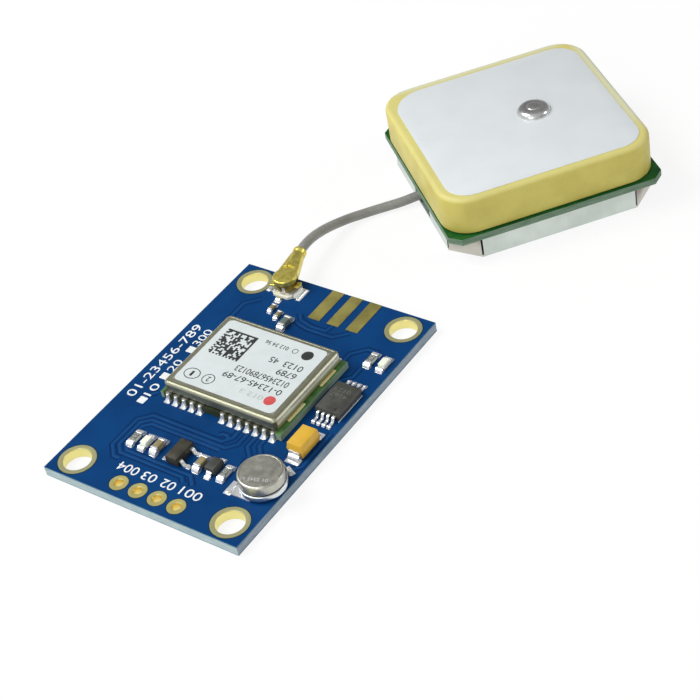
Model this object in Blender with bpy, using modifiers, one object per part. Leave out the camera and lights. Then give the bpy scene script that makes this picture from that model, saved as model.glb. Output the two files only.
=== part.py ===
"""Satellite receiver board with a coaxial lead to a square ceramic antenna.

Metres, +Z up. The origin is the centre of the circuit board's underside, which lies on the surface
that the whole part rests on. +Y runs from the header pads to the antenna. Heights of the parts on
the circuit board are counted from its top face, and the antenna is built in a frame of its own.
"""

import math

import bmesh
import bpy
from mathutils import Matrix, Vector

# Circuit board
BOARD_X = 0.0255
BOARD_Y = 0.0360
BOARD_T = 0.0012
SEAT = 0.00002          # air left between a part and what it is soldered, glued or laid on
FIT = 0.00003           # air left round a part that sits in a hole
PLATING_T = 0.00005

# Places on the board are a distance in from an edge, or a distance from its middle line.
# Plated holes and edge pads
MOUNT_INSET_X = 0.0026
MOUNT_INSET_Y = 0.0024
MOUNT_BORE_R = 0.00155
MOUNT_RING_R = 0.00208
PIN_PITCH = 0.00254
PIN_INSET = 0.0017
PIN_COUNT = 4
PIN_BORE_R = 0.0005
PIN_RING_R = 0.00102
EDGE_PAD_X = 0.00155
EDGE_PAD_Y = 0.0050
EDGE_PAD_FIRST_X = 0.0
EDGE_PAD_COUNT = 3
EDGE_PAD_MARGIN = 0.00005

# Receiver module: castellated board, wall frame, lid and label
MODULE_CENTRE = (0.00016, 0.00192)
MODULE_X = 0.0160
MODULE_Y = 0.0122
MODULE_T = 0.0008
MODULE_STANDOFF = 0.00005
CASTELLATION_R = 0.00028
CASTELLATION_PITCH = 0.0011
CASTELLATION_END = 0.0010
CASTELLATION_LEFT = 5
CASTELLATION_RIGHT = 7
LID_MARGIN_X = 0.0005
LID_MARGIN_Y = 0.00045
LID_WALL = 0.00015
LID_SKIRT = 0.00085
LID_CORNER_R = 0.0006
LID_EDGE_R = 0.0004
LID_SLIT = 0.00022
FRAME_WALL = 0.00015
FRAME_H = 0.00135
LABEL_MARGIN_X = 0.000875
LABEL_MARGIN_Y = 0.0005
LABEL_T = 0.00006
LABEL_CORNER_R = 0.0006
RECEIVER_CHIP = (0.0050, 0.0050, 0.0007)
OSCILLATOR = (0.0025, 0.0020, 0.0007)
FILTER_CAN = (0.0014, 0.0011, 0.0005)

# Coaxial socket on the board
SOCKET_PLACE = ("left", 0.0071, "rear", 0.00215)
SOCKET_BASE = 0.0027
SOCKET_BASE_T = 0.00035
SOCKET_RING_R = 0.0010
SOCKET_WALL = 0.00015
SOCKET_H = 0.00125
SOCKET_TAB_REACH = 0.0020
SOCKET_TAB_Y = 0.0018
SOCKET_PIN_R = 0.00015
SIGNAL_TAB_X = 0.00046
SIGNAL_TAB_T = 0.0001
SIGNAL_TAB_REACH = 0.0019

# Right-angle plug on the cable
PLUG_TURN = math.radians(106.5)
PLUG_LENGTH = 0.0051
PLUG_LID_R = 0.00145
PLUG_SKIRT_R = 0.0012
PLUG_BOTTOM = 0.00060
PLUG_LID_BOTTOM = 0.0016
PLUG_TOP = 0.00225
PLUG_EDGE = 0.00012
PLUG_RUNNING_GAP = 0.00003
PLUG_AXIS_H = 0.00150
PLUG_NECK_ROOT = 0.0026
PLUG_NECK_TIP = 0.0015
PLUG_NECK_REACH = 0.0040
PLUG_NECK_H = 0.0013
PLUG_CRIMP_R = 0.00080
PLUG_CRIMP_X = 0.0018
PLUG_GROOVE = 0.00008
PLUG_INSULATOR_T = 0.0003
PLUG_CONTACT_R = 0.00032
CRIMP_DEPTH = 0.0028

# Coaxial cable
CABLE_D = 0.00113
CABLE_POINTS = (
    (-0.00633, 0.01815, 0.00270), (-0.00670, 0.01940, 0.00270), (-0.00710, 0.02074, 0.00270),
    (-0.00736, 0.02210, 0.00266), (-0.00753, 0.02355, 0.00247), (-0.00759, 0.02520, 0.00212),
    (-0.00750, 0.02700, 0.00166), (-0.00727, 0.02855, 0.00124), (-0.00688, 0.02997, 0.00092),
    (-0.00630, 0.03120, 0.00071), (-0.00560, 0.03231, 0.00061), (-0.00483, 0.03328, 0.00060),
    (-0.00400, 0.03419, 0.00064), (-0.00314, 0.03505, 0.00073), (-0.00246, 0.03580, 0.00083),
    (-0.00180, 0.03662, 0.00093), (-0.00036, 0.03807, 0.00113), (0.00149, 0.03992, 0.00138),
    (0.00362, 0.04219, 0.00157), (0.00583, 0.04491, 0.00162),
)
CABLE_STEPS = 2          # smooth points from one route point to the next

# Parts soldered to the board: place, then size across, along and up
CHIP_LIFT = 0.00002
MEMORY_PLACE = ("right", 0.00225, "middle", 0.0029)
MEMORY_BODY = (0.0030, 0.0044, 0.0010)
MEMORY_LIFT = 0.0001
MEMORY_PITCH = 0.00065
MEMORY_LEADS = 4
MEMORY_REACH = 0.0032
REGULATOR_PLACE = ("middle", -0.0002, "front", 0.00755)
REGULATOR_BODY = (0.0016, 0.0029, 0.0011)
REGULATOR_PITCH = 0.00095
REGULATOR_REACH = 0.0014
DIODE_PLACE = ("middle", 0.00425, "front", 0.0076)
DIODE_BODY = (0.00125, 0.0017, 0.0009)
DIODE_REACH = 0.00125
LEAD_T = 0.00015
LEAD_FOOT = 0.00045
MOULD_DRAFT = 0.06
TANTALUM_PLACE = ("right", 0.00185, "middle", -0.0039)
TANTALUM_BODY = (0.0020, 0.0031, 0.0016)
TANTALUM_STRIP_X = 0.0013
TANTALUM_STRIP_T = 0.00013
TANTALUM_STRIP_UNDER = 0.0007
PASSIVE_CAP = 0.00032
SMALL_PASSIVE_CAP = 0.0002
PASSIVE_STEP = 0.00002
RESISTOR = (0.0008, 0.0016, 0.00045)
CAPACITOR = (0.0008, 0.0016, 0.00075)
SMALL_PASSIVE = (0.0005, 0.0010, 0.00045)
LED_BASE = (0.0008, 0.0016, 0.0003)
LED_LENS = (0.0008, 0.0011, 0.0004)
RESISTOR_PLACES = (("middle", -0.0063, "front", 0.0075), ("middle", 0.00575, "front", 0.0075),
                   ("right", 0.0029, "middle", 0.00995))
CAPACITOR_PLACES = (("middle", -0.0031, "front", 0.0075), ("middle", 0.00262, "front", 0.0075),
                    ("left", 0.0104, "middle", 0.0109))
SMALL_PASSIVE_PLACES = (("left", 0.00745, "rear", 0.0055), ("left", 0.00875, "rear", 0.0062))
LED_PLACES = (("middle", -0.00475, "front", 0.0075), ("right", 0.00125, "middle", 0.0099))

# Backup cell
CELL_PLACE = ("right", 0.0025, "middle", -0.01006)
CELL_CASE_R = 0.00252
CELL_CAP_R = 0.00245
CELL_CASE_H = 0.00120
CELL_CAP_H = 0.00066
CELL_WALL = 0.0002
CELL_GASKET_T = 0.00008
CELL_TAB_T = 0.00012
CELL_TAB_Y = 0.0015
CELL_TAB_REACH = 0.0028
CELL_TAB_OFFSET = -0.00173
CELL_LEAF_Y = 0.0010
CELL_LEAF_REACH = 0.0031
CELL_LEAF_TURN = math.radians(65)

# Antenna
ANTENNA_CENTRE = (0.006885, 0.04598)
ANTENNA_TURN = math.radians(51.5)
CERAMIC_SIDE = 0.0250
CERAMIC_CORNER_R = 0.0036
CERAMIC_EDGE_R = 0.0006
CERAMIC_H = 0.0046
ELECTRODE_MARGIN = 0.0013
ELECTRODE_CORNER_R = 0.0026
ELECTRODE_T = 0.00004
ADHESIVE_INSET = 0.0004
ADHESIVE_T = 0.00008
PATCH_BOARD_OVERHANG = 0.00035
PATCH_BOARD_CHAMFER = 0.00124
PATCH_BOARD_T = 0.0008
SHIELD_INSET = 0.0004
SHIELD_CHAMFER = 0.0031
SHIELD_H = 0.00269
SHIELD_T = 0.00025
SHIELD_SLIT = 0.00022
CABLE_NOTCH_X = 0.0052
CABLE_NOTCH_CENTRE = -0.0005
CABLE_NOTCH_SILL = 0.0003
FEED_OFFSET = (0.0024, -0.0001)
FEED_PIN_R = 0.0004
FEED_DOME_R = 0.0018
FEED_DOME_H = 0.00062
FEED_TAIL = 0.0005
AMPLIFIER = (0.0021, 0.0014, 0.0009)
ANTENNA_FILTER = (0.0030, 0.0030, 0.0012)
COAX_SOLDER = (0.0013, 0.0017, 0.0016)

# Roundness
RING_STEPS = 24
PIN_STEPS = 18
CELL_STEPS = 36

CUTTERS = "cutters"
TOP = BOARD_T           # height of the board's top face


def clear_scene():
    for old in list(bpy.data.objects):
        bpy.data.objects.remove(old, do_unlink=True)
    for old in list(bpy.data.collections):
        bpy.data.collections.remove(old)


def make_collection(name):
    collection = bpy.data.collections.new(name)
    bpy.context.scene.collection.children.link(collection)
    return collection


def finish_material(name, colour, roughness, metallic):
    material = bpy.data.materials.new(name)
    material.use_nodes = True
    shader = material.node_tree.nodes["Principled BSDF"]
    shader.inputs["Base Color"].default_value = (*colour, 1.0)
    shader.inputs["Roughness"].default_value = roughness
    shader.inputs["Metallic"].default_value = metallic
    material.diffuse_color = (*colour, 1.0)
    return material


FINISHES = {
    "mask_blue": ((0.010, 0.060, 0.230), 0.35, 0.0),
    "gold": ((0.780, 0.560, 0.160), 0.28, 1.0),
    "mask_green": ((0.020, 0.180, 0.060), 0.40, 0.0),
    "nickel": ((0.600, 0.580, 0.500), 0.28, 1.0),
    "label": ((0.850, 0.870, 0.870), 0.55, 0.0),
    "black_mould": ((0.030, 0.030, 0.032), 0.55, 0.0),
    "white_mould": ((0.800, 0.790, 0.720), 0.45, 0.0),
    "tin": ((0.700, 0.700, 0.690), 0.30, 1.0),
    "steel": ((0.520, 0.520, 0.480), 0.25, 1.0),
    "amber_mould": ((0.800, 0.420, 0.050), 0.45, 0.0),
    "tan_ceramic": ((0.450, 0.370, 0.230), 0.50, 0.0),
    "grey_sheath": ((0.230, 0.230, 0.210), 0.45, 0.0),
    "cream_ceramic": ((0.800, 0.720, 0.360), 0.45, 0.0),
    "silver_print": ((0.780, 0.800, 0.810), 0.45, 0.3),
    "foam": ((0.120, 0.120, 0.110), 0.80, 0.0),
}


def add_part(name, mesh, finish, location=(0.0, 0.0, 0.0), turn=0.0, parent=None):
    """A sub-part: its mesh in its own frame, placed by its location, turn and parent."""
    part = bpy.data.objects.new(name, mesh)
    part.location = location
    part.rotation_euler = (0.0, 0.0, turn)
    part.parent = parent
    mesh.materials.clear()
    mesh.materials.append(finish_material(name + "_finish", *FINISHES[finish]))
    bpy.data.collections[PARTS].objects.link(part)
    return part


def add_cutter(name, mesh, location=(0.0, 0.0, 0.0), turn=0.0, parent=None):
    """A shape that only cuts or joins another: drawn as wire and never rendered."""
    cutter = bpy.data.objects.new(name, mesh)
    cutter.location = location
    cutter.rotation_euler = (0.0, 0.0, turn)
    cutter.parent = parent
    cutter.hide_render = True
    cutter.display_type = "WIRE"
    bpy.data.collections[CUTTERS].objects.link(cutter)
    return cutter


def boolean(part, other, operation="DIFFERENCE"):
    modifier = part.modifiers.new(operation.lower(), "BOOLEAN")
    modifier.operation = operation
    modifier.solver = "EXACT"
    modifier.object = other


def smooth(mesh, angle=35):
    mesh.shade_smooth()
    mesh.set_sharp_from_angle(angle=math.radians(angle))


def mesh_from(bm, name, shaded=True):
    mesh = bpy.data.meshes.new(name)
    bm.to_mesh(mesh)
    bm.free()
    if shaded:
        smooth(mesh)
    return mesh


def block(name, size, corner=0.0, corner_steps=4, edge=0.0, edge_steps=2, base=0.0):
    """A box that stands on the height base, with round upright corners and a round upper rim."""
    bm = bmesh.new()
    bmesh.ops.create_cube(bm, size=1.0)
    bmesh.ops.scale(bm, vec=Vector(size), verts=bm.verts)
    bmesh.ops.translate(bm, vec=(0.0, 0.0, base + size[2] / 2), verts=bm.verts)
    if corner:
        upright = [e for e in bm.edges if abs(e.verts[0].co.z - e.verts[1].co.z) > size[2] / 2]
        bmesh.ops.bevel(bm, geom=upright, offset=corner, segments=corner_steps, profile=0.5,
                        affect="EDGES")
    if edge:
        top = base + size[2]
        rim = [e for e in bm.edges if all(abs(v.co.z - top) < 1e-7 for v in e.verts)]
        bmesh.ops.bevel(bm, geom=rim, offset=edge, segments=edge_steps, profile=0.5,
                        affect="EDGES")
    return mesh_from(bm, name)


def cylinder(name, radius, low, high, steps, centres=((0.0, 0.0),)):
    """One or more upright cylinders in one mesh, from the height low to the height high."""
    bm = bmesh.new()
    for x, y in centres:
        place = Matrix.Translation((x, y, (low + high) / 2))
        bmesh.ops.create_cone(bm, cap_ends=True, segments=steps, radius1=radius, radius2=radius,
                              depth=high - low, matrix=place)
    return mesh_from(bm, name)


def outline_plate(name, points, thickness):
    """A flat outline in X and Y, extruded to both sides of its own plane and welded shut."""
    curve = bpy.data.curves.new(name, "CURVE")
    curve.dimensions = "2D"
    curve.fill_mode = "BOTH"
    curve.extrude = thickness / 2
    spline = curve.splines.new("POLY")
    spline.points.add(len(points) - 1)
    for point, (x, y) in zip(spline.points, points):
        point.co = (x, y, 0.0, 1.0)
    spline.use_cyclic_u = True
    sketch = bpy.data.objects.new(name + "_sketch", curve)
    bpy.context.scene.collection.objects.link(sketch)
    evaluated = sketch.evaluated_get(bpy.context.evaluated_depsgraph_get())
    mesh = bpy.data.meshes.new_from_object(evaluated)
    mesh.name = name
    bpy.data.objects.remove(sketch, do_unlink=True)
    bm = bmesh.new()
    bm.from_mesh(mesh)
    bmesh.ops.remove_doubles(bm, verts=bm.verts, dist=1e-7)
    bmesh.ops.recalc_face_normals(bm, faces=bm.faces)
    bm.to_mesh(mesh)
    bm.free()
    return mesh


def profile_mesh(name, points, closed):
    mesh = bpy.data.meshes.new(name)
    edges = [(i, i + 1) for i in range(len(points) - 1)]
    if closed:
        edges.append((len(points) - 1, 0))
    mesh.from_pydata([(r, 0.0, z) for r, z in points], edges, [])
    return mesh


def lathe(part, steps):
    screw = part.modifiers.new("turn", "SCREW")
    screw.axis = "Z"
    screw.angle = math.tau
    screw.steps = steps
    screw.render_steps = steps
    screw.use_merge_vertices = True
    screw.merge_threshold = 1e-6
    screw.use_smooth_shade = True


def turned(name, points, finish, steps, closed=False, **place):
    """A lathe shape: the profile's radius and height, down its outer side, swept once round Z."""
    part = add_part(name, profile_mesh(name, points, closed), finish, **place)
    lathe(part, steps)
    return part


def chamfered_square(side, chamfer):
    """The eight corners of a square whose corners are cut off."""
    half = side / 2
    flat = half - chamfer
    return ((-flat, -half), (flat, -half), (half, -flat), (half, flat),
            (flat, half), (-flat, half), (-half, flat), (-half, -flat))


def spot_on(place):
    """The point of the board that a place names: an edge or the middle, and the distance from it."""
    side, across, end, along = place
    x = {"left": across - BOARD_X / 2, "middle": across, "right": BOARD_X / 2 - across}[side]
    y = {"front": along - BOARD_Y / 2, "middle": along, "rear": BOARD_Y / 2 - along}[end]
    return x, y


def mount_holes():
    x, y = BOARD_X / 2 - MOUNT_INSET_X, BOARD_Y / 2 - MOUNT_INSET_Y
    return [(sx * x, sy * y) for sy in (-1, 1) for sx in (-1, 1)]


def pin_holes():
    first = -(PIN_COUNT - 1) / 2 * PIN_PITCH
    return [spot_on(("middle", first + i * PIN_PITCH, "front", PIN_INSET)) for i in range(PIN_COUNT)]


def circuit_board():
    """The laminate, drilled for its plated holes and sunk round them for the plated rings."""
    board = add_part("circuit_board", block("circuit_board", (BOARD_X, BOARD_Y, BOARD_T)), "mask_blue")
    sink = PLATING_T + SEAT
    kinds = (("mount", mount_holes(), MOUNT_BORE_R, MOUNT_RING_R, RING_STEPS),
             ("pin", pin_holes(), PIN_BORE_R, PIN_RING_R, PIN_STEPS))
    for kind, centres, bore, ring, steps in kinds:
        drill = bore + PLATING_T + FIT
        over = PLATING_T
        cuts = (("drill", drill, -over, BOARD_T + over),
                ("upper_sink", ring + FIT, BOARD_T - sink, BOARD_T + over),
                ("lower_sink", ring + FIT, -over, sink))
        for cut, radius, low, high in cuts:
            name = f"{kind}_{cut}"
            boolean(board, add_cutter(name, cylinder(name, radius, low, high, steps, centres)))


def plated_hole(name, centre, bore, ring, steps):
    """A barrel through the board with a flat ring on each face, flush with the underside."""
    barrel = bore + PLATING_T
    top = BOARD_T + SEAT
    profile = ((ring, top), (ring, top - PLATING_T), (barrel, top - PLATING_T),
               (barrel, PLATING_T), (ring, PLATING_T), (ring, 0.0), (bore, 0.0), (bore, top))
    turned(name, profile, "gold", steps, closed=True, location=(*centre, 0.0))


def plated_holes():
    for i, centre in enumerate(mount_holes(), 1):
        plated_hole(f"mounting_hole_plating_{i}", centre, MOUNT_BORE_R, MOUNT_RING_R, RING_STEPS)
    for i, centre in enumerate(pin_holes(), 1):
        plated_hole(f"header_pad_{i}", centre, PIN_BORE_R, PIN_RING_R, PIN_STEPS)


def edge_pads():
    y = BOARD_Y / 2 - EDGE_PAD_MARGIN - EDGE_PAD_Y / 2
    for i in range(EDGE_PAD_COUNT):
        name = f"edge_pad_{i + 1}"
        mesh = block(name, (EDGE_PAD_X, EDGE_PAD_Y, PLATING_T))
        add_part(name, mesh, "gold", (EDGE_PAD_FIRST_X + i * PIN_PITCH, y, TOP + SEAT))


def receiver_module():
    base = TOP + MODULE_STANDOFF
    top = base + MODULE_T
    spot = (*MODULE_CENTRE, 0.0)
    board = add_part("module_board", block("module_board", (MODULE_X, MODULE_Y, MODULE_T), base=base),
                     "mask_green", spot)
    over = MODULE_T / 2
    for end, count in ((-1, CASTELLATION_LEFT), (1, CASTELLATION_RIGHT)):
        name = "castellation_row_left" if end < 0 else "castellation_row_right"
        outermost = MODULE_X / 2 - CASTELLATION_END
        centres = [(end * (outermost - n * CASTELLATION_PITCH), side * MODULE_Y / 2)
                   for n in range(count) for side in (-1, 1)]
        mesh = cylinder(name, CASTELLATION_R, base - over, top + over, 12, centres)
        boolean(board, add_cutter(name, mesh, spot))

    lid_x, lid_y = MODULE_X - 2 * LID_MARGIN_X, MODULE_Y - 2 * LID_MARGIN_Y
    lid_inside_x = lid_x - 2 * (LID_WALL + FIT)
    lid_inside_y = lid_y - 2 * (LID_WALL + FIT)
    frame_base = top + SEAT
    frame = open_block("module_shield_frame", (lid_inside_x, lid_inside_y, FRAME_H),
                       LID_CORNER_R - LID_WALL, LID_EDGE_R - LID_WALL, frame_base, open_top=True)
    frame = add_part("module_shield_frame", frame, "nickel", spot)
    solidify(frame, FRAME_WALL)

    lid_top = frame_base + FRAME_H + SEAT + LID_WALL
    lid = open_block("module_shield_lid", (lid_x, lid_y, LID_SKIRT), LID_CORNER_R, LID_EDGE_R,
                     lid_top - LID_SKIRT)
    lid = add_part("module_shield_lid", lid, "nickel", spot)
    solidify(lid, LID_WALL)
    slit_length = 4 * LID_CORNER_R
    slit_high = lid_top - LID_EDGE_R
    slit_low = lid_top - LID_SKIRT - LID_WALL
    for i, (sx, sy) in enumerate(((-1, -1), (1, -1), (1, 1), (-1, 1)), 1):
        mesh = block(f"lid_slit_{i}", (slit_length, LID_SLIT, slit_high - slit_low), base=slit_low)
        corner = (MODULE_CENTRE[0] + sx * lid_x / 2, MODULE_CENTRE[1] + sy * lid_y / 2, 0.0)
        boolean(lid, add_cutter(f"lid_slit_{i}", mesh, corner, math.atan2(sy, sx)))

    size = (lid_x - 2 * LABEL_MARGIN_X, lid_y - 2 * LABEL_MARGIN_Y, LABEL_T)
    label = block("module_label", size, LABEL_CORNER_R, base=lid_top + SEAT)
    add_part("module_label", label, "label", spot)

    inner = top + SEAT
    for name, size, x, y, finish in (("receiver_chip", RECEIVER_CHIP, -0.0025, 0.0, "black_mould"),
                                     ("crystal_oscillator", OSCILLATOR, 0.0028, 0.0025, "nickel"),
                                     ("receiver_filter", FILTER_CAN, 0.0030, -0.0025, "white_mould")):
        mesh = block(name, size, edge=size[2] / 8, edge_steps=1, base=inner)
        add_part(name, mesh, finish, (MODULE_CENTRE[0] + x, MODULE_CENTRE[1] + y, 0.0))


def open_block(name, size, corner, edge, base, open_top=False):
    """The outer skin of a folded can: the box without its floor, and without its top if asked."""
    mesh = block(name, size, corner, 3, edge, 3, base)
    bm = bmesh.new()
    bm.from_mesh(mesh)
    gone = [f for f in bm.faces if f.normal.z < -0.9 or (open_top and f.normal.z > 0.9)]
    bmesh.ops.delete(bm, geom=gone, context="FACES")
    bm.to_mesh(mesh)
    bm.free()
    smooth(mesh)
    return mesh


def solidify(part, thickness):
    wall = part.modifiers.new("wall", "SOLIDIFY")
    wall.thickness = thickness
    wall.offset = -1.0
    wall.use_even_offset = True


def coax_socket():
    spot = (*spot_on(SOCKET_PLACE), TOP)
    base = block("coax_socket_base", (SOCKET_BASE, SOCKET_BASE, SOCKET_BASE_T), 0.0002, 2, base=SEAT)
    base = add_part("coax_socket_base", base, "white_mould", spot)
    channel_x = SIGNAL_TAB_X + 2 * FIT
    channel_t = SIGNAL_TAB_T + 2 * SEAT
    channel = block("socket_channel", (channel_x, SOCKET_BASE, 2 * channel_t), base=-channel_t)
    channel_y = spot[1] - SOCKET_BASE / 2 + channel_x / 2
    boolean(base, add_cutter("socket_channel", channel, (spot[0], channel_y, TOP + SEAT)))
    pin_hole = cylinder("socket_pin_hole", SOCKET_PIN_R + FIT, -SOCKET_BASE_T, 2 * SOCKET_BASE_T, 12)
    boolean(base, add_cutter("socket_pin_hole", pin_hole, spot))

    plate_low = SOCKET_BASE_T + 2 * SEAT
    plate_high = plate_low + SOCKET_WALL
    leg_in = SOCKET_BASE / 2 + FIT
    leg_out = leg_in + SOCKET_WALL
    foot_high = SEAT + SOCKET_WALL
    half = ((SOCKET_TAB_REACH, SEAT), (SOCKET_TAB_REACH, foot_high), (leg_out, foot_high),
            (leg_out, plate_high))
    inner = ((-leg_in, SEAT), (-leg_in, plate_low), (leg_in, plate_low), (leg_in, SEAT))
    outline = half + tuple((-x, z) for x, z in reversed(half)) + inner
    mesh = outline_plate("coax_socket_shell", outline, SOCKET_TAB_Y)
    mesh.transform(Matrix.Rotation(math.pi / 2, 4, "X"))
    shell = add_part("coax_socket_shell", mesh, "tin", spot)
    ring = cylinder("socket_ring", SOCKET_RING_R, plate_low, SOCKET_H, RING_STEPS)
    boolean(shell, add_cutter("socket_ring", ring, spot), "UNION")
    bore = cylinder("socket_bore", SOCKET_RING_R - SOCKET_WALL, SOCKET_BASE_T / 2, 2 * SOCKET_H, RING_STEPS)
    boolean(shell, add_cutter("socket_bore", bore, spot))

    strip_y = SIGNAL_TAB_REACH + SOCKET_PIN_R
    strip = block("coax_socket_pin", (SIGNAL_TAB_X, strip_y, SIGNAL_TAB_T), base=SEAT)
    strip.transform(Matrix.Translation((0.0, SOCKET_PIN_R - strip_y / 2, 0.0)))
    pin = add_part("coax_socket_pin", strip, "gold", spot)
    post = cylinder("socket_post", SOCKET_PIN_R, SEAT + SIGNAL_TAB_T / 2, SOCKET_H - SOCKET_WALL, 12)
    boolean(pin, add_cutter("socket_post", post, spot), "UNION")


def coax_plug():
    """The plug is built along +X from the socket's axis, then turned to the cable's direction."""
    socket_x, socket_y = spot_on(SOCKET_PLACE)
    place = {"location": (socket_x, socket_y, TOP), "turn": PLUG_TURN}
    edge = PLUG_EDGE
    head = ((0.0, PLUG_TOP), (PLUG_LID_R - edge, PLUG_TOP), (PLUG_LID_R, PLUG_TOP - edge),
            (PLUG_LID_R, PLUG_LID_BOTTOM), (PLUG_SKIRT_R, PLUG_LID_BOTTOM), (PLUG_SKIRT_R, PLUG_BOTTOM),
            (0.0, PLUG_BOTTOM))
    shell = turned("coax_plug_shell", head, "gold", RING_STEPS, **place)

    start = PLUG_SKIRT_R * 0.6
    neck = outline_plate("plug_neck", ((start, -PLUG_NECK_ROOT / 2), (PLUG_NECK_REACH, -PLUG_NECK_TIP / 2),
                                       (PLUG_NECK_REACH, PLUG_NECK_TIP / 2), (start, PLUG_NECK_ROOT / 2)),
                         PLUG_NECK_H)
    neck.transform(Matrix.Translation((0.0, 0.0, PLUG_AXIS_H)))
    boolean(shell, add_cutter("plug_neck", neck, **place), "UNION")

    crimp = PLUG_CRIMP_R
    groove = crimp - PLUG_GROOVE
    middle = (PLUG_NECK_REACH + PLUG_LENGTH) / 2
    barrel = ((0.0, PLUG_LENGTH), (crimp - edge, PLUG_LENGTH), (crimp, PLUG_LENGTH - edge),
              (crimp, middle + edge), (groove, middle + edge / 2), (groove, middle - edge / 2),
              (crimp, middle - edge), (crimp, PLUG_CRIMP_X), (0.0, PLUG_CRIMP_X))
    sleeve = add_cutter("plug_barrel", profile_mesh("plug_barrel", barrel, False))
    lathe(sleeve, PIN_STEPS)
    sleeve.location = (socket_x, socket_y, TOP + PLUG_AXIS_H)
    sleeve.rotation_euler = (0.0, math.pi / 2, PLUG_TURN)
    boolean(shell, sleeve, "UNION")

    cavity_r = SOCKET_RING_R + PLUG_RUNNING_GAP
    cavity_top = SOCKET_H + SEAT + PLUG_INSULATOR_T + SEAT
    cavity = cylinder("plug_cavity", cavity_r, PLUG_BOTTOM / 2, cavity_top, RING_STEPS)
    boolean(shell, add_cutter("plug_cavity", cavity, **place))
    bore_r = CABLE_D / 2 + FIT
    bore = cylinder("crimp_bore", bore_r, PLUG_LENGTH - CRIMP_DEPTH, PLUG_LENGTH + edge, PIN_STEPS)
    bore.transform(Matrix.Rotation(math.pi / 2, 4, "Y"))
    bore.transform(Matrix.Translation((0.0, 0.0, PLUG_AXIS_H)))
    boolean(shell, add_cutter("crimp_bore", bore, **place))

    ring_in = PLUG_CONTACT_R + FIT
    low = SOCKET_H + SEAT
    high = low + PLUG_INSULATOR_T
    disc = ((cavity_r - FIT, high), (cavity_r - FIT, low), (ring_in, low), (ring_in, high))
    turned("coax_plug_insulator", disc, "white_mould", PIN_STEPS, closed=True, **place)
    grip = SOCKET_PIN_R + FIT
    sleeve_low = SOCKET_BASE_T + SOCKET_WALL
    contact = ((PLUG_CONTACT_R, high), (PLUG_CONTACT_R, sleeve_low), (grip, sleeve_low), (grip, high))
    turned("coax_plug_contact", contact, "gold", 12, closed=True, **place)


def smooth_route(points, steps):
    """Catmull-Rom points through the route's own points."""
    route = [Vector(p) for p in points]
    ends = [2 * route[0] - route[1]] + route + [2 * route[-1] - route[-2]]
    out = []
    for i in range(1, len(ends) - 2):
        a, b, c, d = ends[i - 1:i + 3]
        for n in range(steps):
            t = n / steps
            out.append(0.5 * (2 * b + (c - a) * t + (2 * a - 5 * b + 4 * c - d) * t * t
                              + (3 * b - a - 3 * c + d) * t ** 3))
    out.append(route[-1])
    return out


def coax_cable():
    curve = bpy.data.curves.new("coax_cable", "CURVE")
    curve.dimensions = "3D"
    curve.bevel_depth = CABLE_D / 2
    curve.bevel_resolution = 2
    curve.use_fill_caps = True
    points = smooth_route(CABLE_POINTS, CABLE_STEPS)
    spline = curve.splines.new("POLY")
    spline.points.add(len(points) - 1)
    for point, place in zip(spline.points, points):
        point.co = (*place, 1.0)
    curve.materials.append(finish_material("coax_cable_finish", *FINISHES["grey_sheath"]))
    cable = bpy.data.objects.new("coax_cable", curve)
    bpy.data.collections[PARTS].objects.link(cable)


def moulded_mesh(name, size, base):
    """A moulded package: widest at the parting line half-way up, drawn in above and below it."""
    bm = bmesh.new()
    bmesh.ops.create_cube(bm, size=1.0)
    bmesh.ops.scale(bm, vec=Vector(size), verts=bm.verts)
    bmesh.ops.bisect_plane(bm, geom=bm.verts[:] + bm.edges[:] + bm.faces[:], plane_co=(0, 0, 0),
                           plane_no=(0, 0, 1))
    draft = MOULD_DRAFT * size[2]
    for vert in bm.verts:
        if abs(vert.co.z) > size[2] / 4:
            vert.co.x -= math.copysign(draft, vert.co.x)
            vert.co.y -= math.copysign(draft, vert.co.y)
    bmesh.ops.translate(bm, vec=(0.0, 0.0, base + size[2] / 2), verts=bm.verts)
    return mesh_from(bm, name)


def lead_row(name, inner, reach, height, width, offsets, direction):
    """Gull-wing leads of one side, for joining to their package: out, down, then flat on the pad."""
    low, foot_top = SEAT, SEAT + LEAD_T
    shoulder = height + LEAD_T / 2
    bend = reach - LEAD_FOOT
    outline = ((inner, height - LEAD_T / 2), (bend - LEAD_T, height - LEAD_T / 2), (bend - LEAD_T / 2, low),
               (reach, low), (reach, foot_top), (bend + LEAD_T / 2, foot_top), (bend, shoulder),
               (inner, shoulder))
    bm = bmesh.new()
    for offset in offsets:
        one = outline_plate(name, outline, width)
        one.transform(Matrix.Rotation(math.pi / 2, 4, "X"))
        one.transform(Matrix.Translation((0.0, offset, 0.0)))
        bm.from_mesh(one)
        bpy.data.meshes.remove(one)
    bmesh.ops.rotate(bm, cent=(0, 0, 0), matrix=Matrix.Rotation(direction, 3, "Z"), verts=bm.verts)
    return mesh_from(bm, name, shaded=False)


def package(name, finish, place, size, lift, rows):
    """A moulded body with the rows of leads joined to it. A row is direction, reach, width, offsets."""
    spot = (*spot_on(place), TOP)
    body = add_part(name, moulded_mesh(name, size, lift), finish, spot)
    for i, (direction, reach, width, offsets) in enumerate(rows, 1):
        inner = min(size[0], size[1]) / 4
        row = lead_row(f"{name}_leads_{i}", inner, reach, lift + size[2] / 2, width, offsets, direction)
        boolean(body, add_cutter(f"{name}_leads_{i}", row, spot), "UNION")
    return body


def even_offsets(count, pitch):
    return [(i - (count - 1) / 2) * pitch for i in range(count)]


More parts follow.
